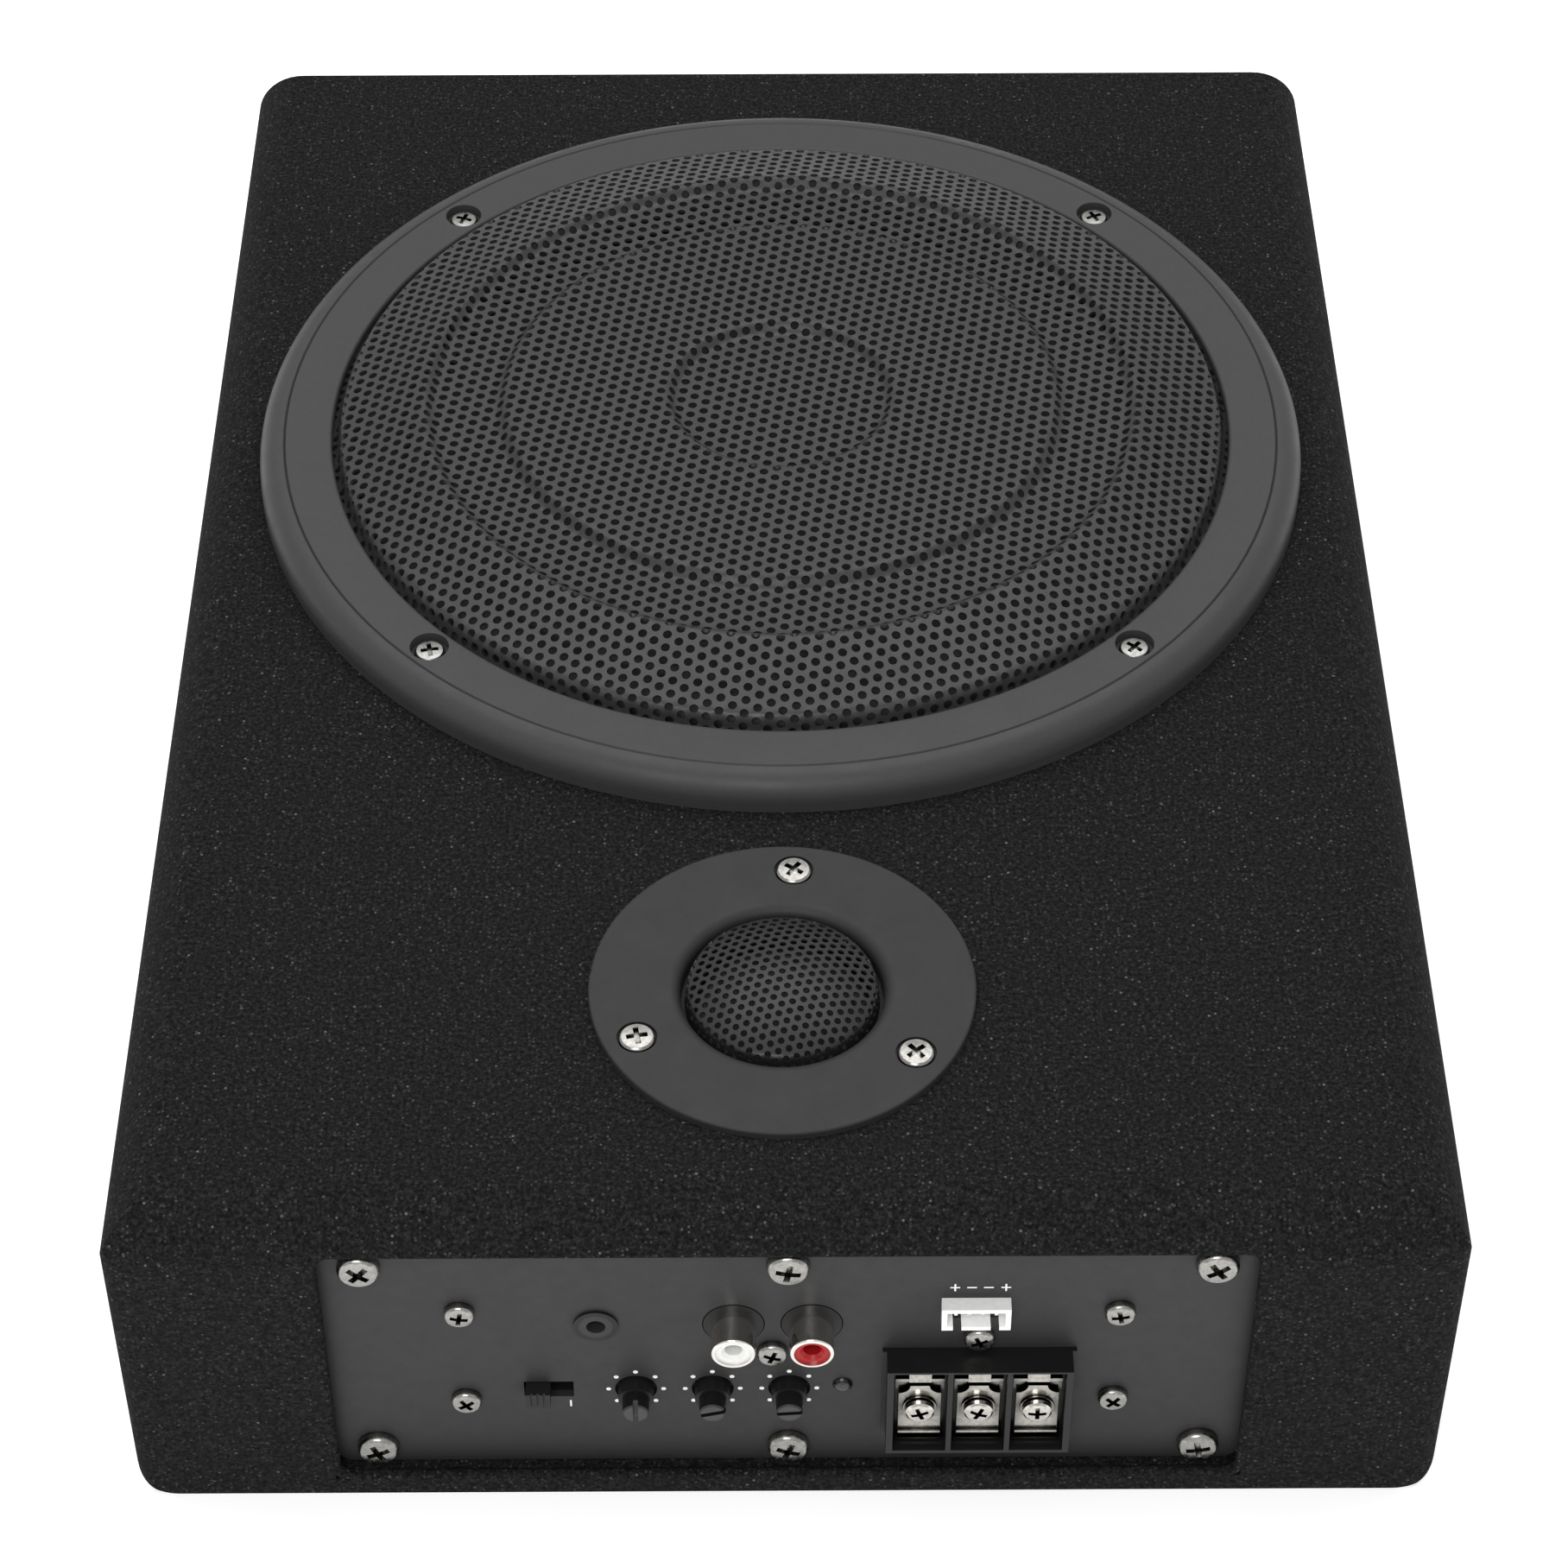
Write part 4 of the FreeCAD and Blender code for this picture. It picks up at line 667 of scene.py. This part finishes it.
def tweeter_mesh():
    """The tweeter's dome mesh with its plain skirt."""
    low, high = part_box("tweeter_mesh")
    middle = (low + high) / 2
    foot = (high.x - low.x) / 2
    edge = 18.0 * MM
    shoulder = high.z - 4.2 * MM
    rise = high.z - shoulder
    sphere = (edge * edge + rise * rise) / (2 * rise)
    span = math.asin(edge / sphere)
    steps = 16
    points = []
    for index in range(steps + 1):
        angle = span * index / steps
        points.append(
            (
                sphere * math.sin(angle),
                high.z - sphere * (1 - math.cos(angle)) - middle.z,
            )
        )
    points.append((foot, low.z - middle.z))
    place, total = rounded_profile(points, 0.5 * MM, 0.1 * MM)
    pitch, hole, turn, border, sheet = 2.13 * MM, 1.36 * MM, math.radians(15), 2 * MM, 0.4 * MM
    mesh = perforated(middle, place, total, pitch, hole, turn, total - border, sheet)
    shade(mesh, 50)
    look = powder("dome_steel", (0.0125, 0.0125, 0.0128), 0.38, 0.34)
    make_piece("tweeter_perforated", mesh, look, ["tweeter_mesh"])


# The felt's fold round the panel


def mouth_path():
    """Points round the panel's recess on the felt's outer face, which curves back near the top."""
    low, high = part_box("carpet_wrap")
    panel_low, panel_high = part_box("amp_panel")
    gap, corner, nose, steps = 0.4 * MM, 3.4 * MM, 12.0 * MM, 6
    left, right = panel_low.x - gap, panel_high.x + gap
    floor, top = panel_low.z - gap, panel_high.z + gap
    turns = (
        (right - corner, top - corner, 0.0),
        (left + corner, top - corner, math.pi / 2),
        (left + corner, floor + corner, math.pi),
        (right - corner, floor + corner, math.pi * 1.5),
    )
    spots = []
    for x, z, start in turns:
        for index in range(steps + 1):
            angle = start + math.pi / 2 * index / steps
            spots.append((x + corner * math.cos(angle), z + corner * math.sin(angle)))
    path = []
    for (x0, z0), (x1, z1) in zip(spots, spots[1:] + spots[:1]):
        runs = max(1, round(math.hypot(x1 - x0, z1 - z0) / (6 * MM)))
        for index in range(runs):
            x, z = x0 + (x1 - x0) * index / runs, z0 + (z1 - z0) * index / runs
            sunk = max(0.0, z - (high.z - nose))
            path.append(Vector((x, low.y + nose - math.sqrt(nose * nose - sunk * sunk), z)))
    return path


def felt_fold():
    """The felt rolled over the edge of the panel's recess."""
    radius, sides = 1.1 * MM, 14
    path = mouth_path()
    centre = centre_of("amp_panel")
    mesh = bmesh.new()
    rings = []
    for index, spot in enumerate(path):
        along = (path[(index + 1) % len(path)] - path[index - 1]).normalized()
        inward = along.cross(Vector((0, 1, 0))).normalized()
        if inward.dot(Vector((centre.x - spot.x, 0, centre.z - spot.z))) < 0:
            inward.negate()
        ring = []
        for step in range(sides):
            angle = TAU * step / sides
            around = inward * math.cos(angle) + Vector((0, math.sin(angle), 0))
            ring.append(mesh.verts.new(spot + Vector((0, radius, 0)) + around * radius))
        rings.append(ring)
    for first, last in zip(rings, rings[1:] + rings[:1]):
        for step in range(sides):
            follow = (step + 1) % sides
            mesh.faces.new((first[step], first[follow], last[follow], last[step]))
    bmesh.ops.recalc_face_normals(mesh, faces=mesh.faces)
    made = bpy.data.meshes.new("felt_fold")
    mesh.to_mesh(made)
    mesh.free()
    shade(made, 80)
    make_piece("felt_fold", made, felt("fold_felt"))


# The parts that flex with the cone and with the tweeter's dome


def flexing_ring(name, node, profile, sheet, material):
    """A ring in sectors, each a separate piece reaching from the mover at the inner radius to the frame at
    the outer one.
    """
    centre = centre_of(node)
    sectors, steps = 12, 8
    share = TAU / sectors
    for index in range(sectors):
        mesh = bmesh.new()
        rows = []
        for radius, height in profile:
            row = []
            for step in range(steps + 1):
                angle = share * (index + step / steps)
                row.append(
                    mesh.verts.new(
                        (
                            centre.x + radius * math.cos(angle),
                            centre.y + radius * math.sin(angle),
                            centre.z + height,
                        )
                    )
                )
            rows.append(row)
        for first, last in zip(rows, rows[1:]):
            for step in range(steps):
                mesh.faces.new((first[step], last[step], last[step + 1], first[step + 1]))
        data = bpy.data.meshes.new(name)
        mesh.to_mesh(data)
        mesh.free()
        data = applied(data, ("SOLIDIFY", {"thickness": sheet, "offset": -1.0}))
        shade(data, 60)
        data.materials.clear()
        data.materials.append(material)
        piece = bpy.data.objects.new(f"{name}_{index}", data)
        bpy.context.scene.collection.objects.link(piece)
        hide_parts(node)
        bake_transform(piece)


def half_roll(lip, roll_in, roll_out, rim, flat, rise, steps):
    """The profile of a half roll between two flat rims, as (radius, height) points."""
    middle, half = (roll_in + roll_out) / 2, (roll_out - roll_in) / 2
    profile = [(lip, flat)]
    for step in range(steps + 1):
        angle = math.pi * (1 - step / steps)
        profile.append((middle + half * math.cos(angle), flat + rise * math.sin(angle)))
    profile.append((rim, flat))
    return profile


def woofer_surround():
    """The rubber half roll between the cone's lip and the basket."""
    low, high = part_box("woofer_surround")
    lip, roll_in, roll_out, rim = 76.5 * MM, 80.0 * MM, 92.0 * MM, 96.9 * MM
    flat = low.z + 1.7 * MM - (low.z + high.z) / 2
    rise = high.z - (low.z + high.z) / 2 - flat
    sheet = 0.7 * MM
    profile = half_roll(lip, roll_in, roll_out, rim, flat, rise, 16)
    material = rubbery("surround_rubber")
    flexing_ring(
        "surround", "woofer_surround", profile, sheet, material
    )


def woofer_spider():
    """The corrugated cloth that centres the coil."""
    low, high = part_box("woofer_spider")
    swing = (high.z - low.z) / 2 - 0.35 * MM
    first, pitch, waves, steps = 22.0 * MM, 4.6 * MM, 6, 8
    inner, rim, sheet = 17.7 * MM, 56.9 * MM, 0.5 * MM
    profile = [(inner, 0.0)]
    for step in range(waves * steps + 1):
        turn = math.pi * step / steps
        profile.append((first + pitch * step / steps, swing * math.sin(turn)))
    profile.append((rim, 0.0))
    material = woven("spider_weave", (0.55, 0.36, 0.12))
    flexing_ring("spider", "woofer_spider", profile, sheet, material)


def tweeter_surround():
    """The small half roll between the tweeter's dome and its flange."""
    low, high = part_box("tweeter_surround")
    middle_level = (low.z + high.z) / 2
    edge, roll_in, roll_out, rim = 13.3 * MM, 13.6 * MM, 17.0 * MM, (high.x - low.x) / 2
    flat = low.z + 0.6 * MM - middle_level
    rise = high.z - middle_level - flat
    sheet = 0.5 * MM
    profile = half_roll(edge, roll_in, roll_out, rim, flat, rise, 8)
    material, slot = rubbery("roll_rubber"), "tweeter_roll"
    flexing_ring(
        "roll", "tweeter_surround", profile, sheet, material
    )


# The printed marks on the panel


def flat_disc(mesh, x, y, z, radius, sides=16):
    """A flat round dot that faces the front."""
    rim = [
        mesh.verts.new(
            (x + radius * math.cos(TAU * k / sides), y, z + radius * math.sin(TAU * k / sides))
        )
        for k in range(sides)
    ]
    mesh.faces.new(rim)


def flat_bar(mesh, x, y, z, width, height):
    """A flat bar that faces the front."""
    half, tall = width / 2, height / 2
    corners = ((-half, -tall), (half, -tall), (half, tall), (-half, tall))
    mesh.faces.new([mesh.verts.new((x + dx, y, z + dz)) for dx, dz in corners])


def panel_marks():
    """The dots round each level control, the switch's tick and the header's polarity signs."""
    ink = 0.03 * MM
    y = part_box("amp_panel")[0].y - ink
    mesh = bmesh.new()
    dots, first_dot, dot_step, dot_circle, dot = 7, 225, 45, 5.2 * MM, 0.47 * MM
    for name in ("knob_left", "knob_middle", "knob_right"):
        centre = centre_of(name)
        for step in range(dots):
            angle = math.radians(first_dot - dot_step * step)
            x, z = centre.x + dot_circle * math.cos(angle), centre.z + dot_circle * math.sin(angle)
            flat_disc(mesh, x, y, z, dot)
    switch = centre_of("mode_switch_case")
    beside, below, tick_width, tick_height = 4.0 * MM, 4.4 * MM, 0.35 * MM, 1.9 * MM
    flat_bar(mesh, switch.x + beside, y, switch.z - below, tick_width, tick_height)
    header = centre_of("input_header")
    signs = ((-4.0, True), (-0.9, False), (2.2, False), (5.4, True))
    above, long_bar, stroke = 6.1 * MM, 1.8 * MM, 0.34 * MM
    half_bar, half_place = 0.85 * MM, 0.6 * MM
    for offset, plus in signs:
        x, z = header.x + offset * MM, header.z + above
        flat_bar(mesh, x, y, z, long_bar, stroke)
        if plus:
            flat_bar(mesh, x, y, z + half_place, stroke, half_bar)
            flat_bar(mesh, x, y, z - half_place, stroke, half_bar)
    made = bpy.data.meshes.new("marks")
    bmesh.ops.recalc_face_normals(mesh, faces=mesh.faces)
    mesh.to_mesh(made)
    mesh.free()
    made = applied(made, ("SOLIDIFY", {"thickness": ink * 0.9, "offset": 0.0}))
    make_piece("panel_marks", made, printed("white_ink"))


# Looks for the CAD nodes


def dress(looks):
    """Gives each listed CAD node its material and smooth shading."""
    for material, names in looks:
        for name in names:
            mesh = NODES[name].data
            mesh.materials.clear()
            mesh.materials.append(material)
            shade(mesh)


def dress_box(black):
    """The boards, the felt, the two rings and the plain black mouldings."""
    ring, flange = (0.04, 0.04, 0.0405), (0.023, 0.023, 0.0233)
    boards = ("front_board", "baffle_board", "bottom_board", "side_boards", "back_board")
    dress(
        (
            (fibreboard("raw_board"), boards),
            (felt("wrap_felt"), ("carpet_wrap", "carpet_bottom")),
            (moulded("ring_plastic", ring, 0.45), ("grille_ring",)),
            (moulded("flange_plastic", flange, 0.55), ("tweeter_flange",)),
            (
                moulded("black_plastic", black, 0.45),
                ("tweeter_spacer", "rca_housing", "level_pots", "mode_switch_case"),
            ),
        )
    )


def dress_panel(black):
    """The panel with its sockets, controls, light and terminals, and all screws and nickel plate."""
    knobs = ("knob_left", "knob_middle", "knob_right")
    jack, lens = (0.027, 0.027, 0.0272), (0.05, 0.05, 0.053)
    steel, dull_steel, bright_steel = (0.36, 0.35, 0.33), (0.34, 0.34, 0.325), (0.6, 0.58, 0.54)
    nickel, worn_nickel = (0.72, 0.7, 0.66), (0.5, 0.48, 0.44)
    white, red = (0.75, 0.75, 0.73), (0.33, 0.01, 0.012)
    dress(
        (
            (moulded("block_plastic", (0.008, 0.008, 0.008), 0.35), ("terminal_block",)),
            (moulded("lever_plastic", (0.01, 0.01, 0.01), 0.35), ("mode_switch_lever",)),
            # The shafts' paler front ends are painted light
            (shaft("shaft_plastic", black, (0.055, 0.055, 0.056)), knobs),
            (
                # The jack gets a painted shadow of the gap round its rim
                flush_fitting(
                    "jack_plastic", "aux_jack", jack, black, reach=4.2 * MM, share=0.72, roughness=0.5
                ),
                ("aux_jack",),
            ),
            (moulded("white_nylon", (0.9, 0.9, 0.89), 0.4), ("input_header",)),
            (moulded("white_insert", white, 0.3), ("rca_insert_left",)),
            (moulded("red_insert", red, 0.3), ("rca_insert_right",)),
            (
                # The light's lens gets a painted shadow of the gap round its rim
                flush_fitting("lens", "power_led", lens, black, reach=1.9 * MM, share=0.7, roughness=0.15),
                ("power_led",),
            ),
            (powder("panel_paint", (0.0265, 0.0265, 0.0267), 0.5), ("amp_panel",)),
            # The screws get painted shade in their crosses and along the foot of their heads
            (turned("screw_steel", steel, 0.26), ("panel_screws", "module_screws", "tweeter_screws")),
            (turned("grille_screw_steel", dull_steel, 0.3), ("grille_screws",)),
            (plated("nickel", nickel), ("header_pins", "woofer_tabs", "rca_barrels")),
            (
                # Painted shade within 5 mm darkens the contacts and clamps in their hollows and leaves
                # raised parts light
                turned("contact_nickel", worn_nickel, 0.2, reach=5 * MM, closed=0.45, opened=0.85),
                ("terminal_contacts", "terminal_clamps"),
            ),
            (
                turned("terminal_steel", bright_steel, 0.16, reach=1.5 * MM, closed=0.5, opened=0.9),
                ("terminal_screws",),
            ),
        )
    )


def dress_inside(black):
    """The speakers' working parts and the amplifier's boards."""
    plates = ("woofer_top_plate", "woofer_yoke", "tweeter_top_plate", "tweeter_yoke")
    dress(
        (
            (moulded("package_epoxy", black, 0.6), ("power_transistors",)),
            (moulded("can_sleeve", (0.015, 0.015, 0.03), 0.3), ("filter_capacitors",)),
            (moulded("strip_board", (0.16, 0.08, 0.03), 0.5), ("woofer_terminal_strip",)),
            (powder("basket_paint", (0.02, 0.02, 0.02), 0.4), ("woofer_basket",)),
            (metal("zinc", (0.55, 0.55, 0.52), 0.35), plates),
            (metal("former_foil", (0.75, 0.75, 0.76), 0.3, lines=(1, 1, 6)), ("voice_coil_former",)),
            (metal("sink_aluminium", (0.62, 0.62, 0.63), 0.35, lines=(1, 0.02, 1)), ("heat_sinks",)),
            (rubbery("gasket_foam", (0.03, 0.03, 0.03), 0.8), ("woofer_gasket",)),
            (rubbery("ferrite", (0.04, 0.04, 0.043), 0.6), ("woofer_magnet", "tweeter_magnet")),
            (woven("dome_silk", (0.03, 0.03, 0.03), pitch=0.0005), ("tweeter_dome",)),
            (pressed_paper("cone_paper", (0.03, 0.03, 0.03)), ("woofer_cone", "woofer_dust_cap")),
            (wound("voice_wire"), ("voice_coil", "tweeter_coil")),
            (wound("ring_wire", rate=900, upright=False), ("transformer",)),
            (laminate("board_mask"), ("control_board", "main_board")),
        )
    )


def carried_over():
    """The materials of every CAD node that stays visible."""
    black = (0.008, 0.008, 0.0082)
    dress_box(black)
    dress_panel(black)
    dress_inside(black)


camera()
studio()
felt_fold()
grille_mesh()
tweeter_mesh()
woofer_surround()
woofer_spider()
tweeter_surround()
panel_marks()
carried_over()
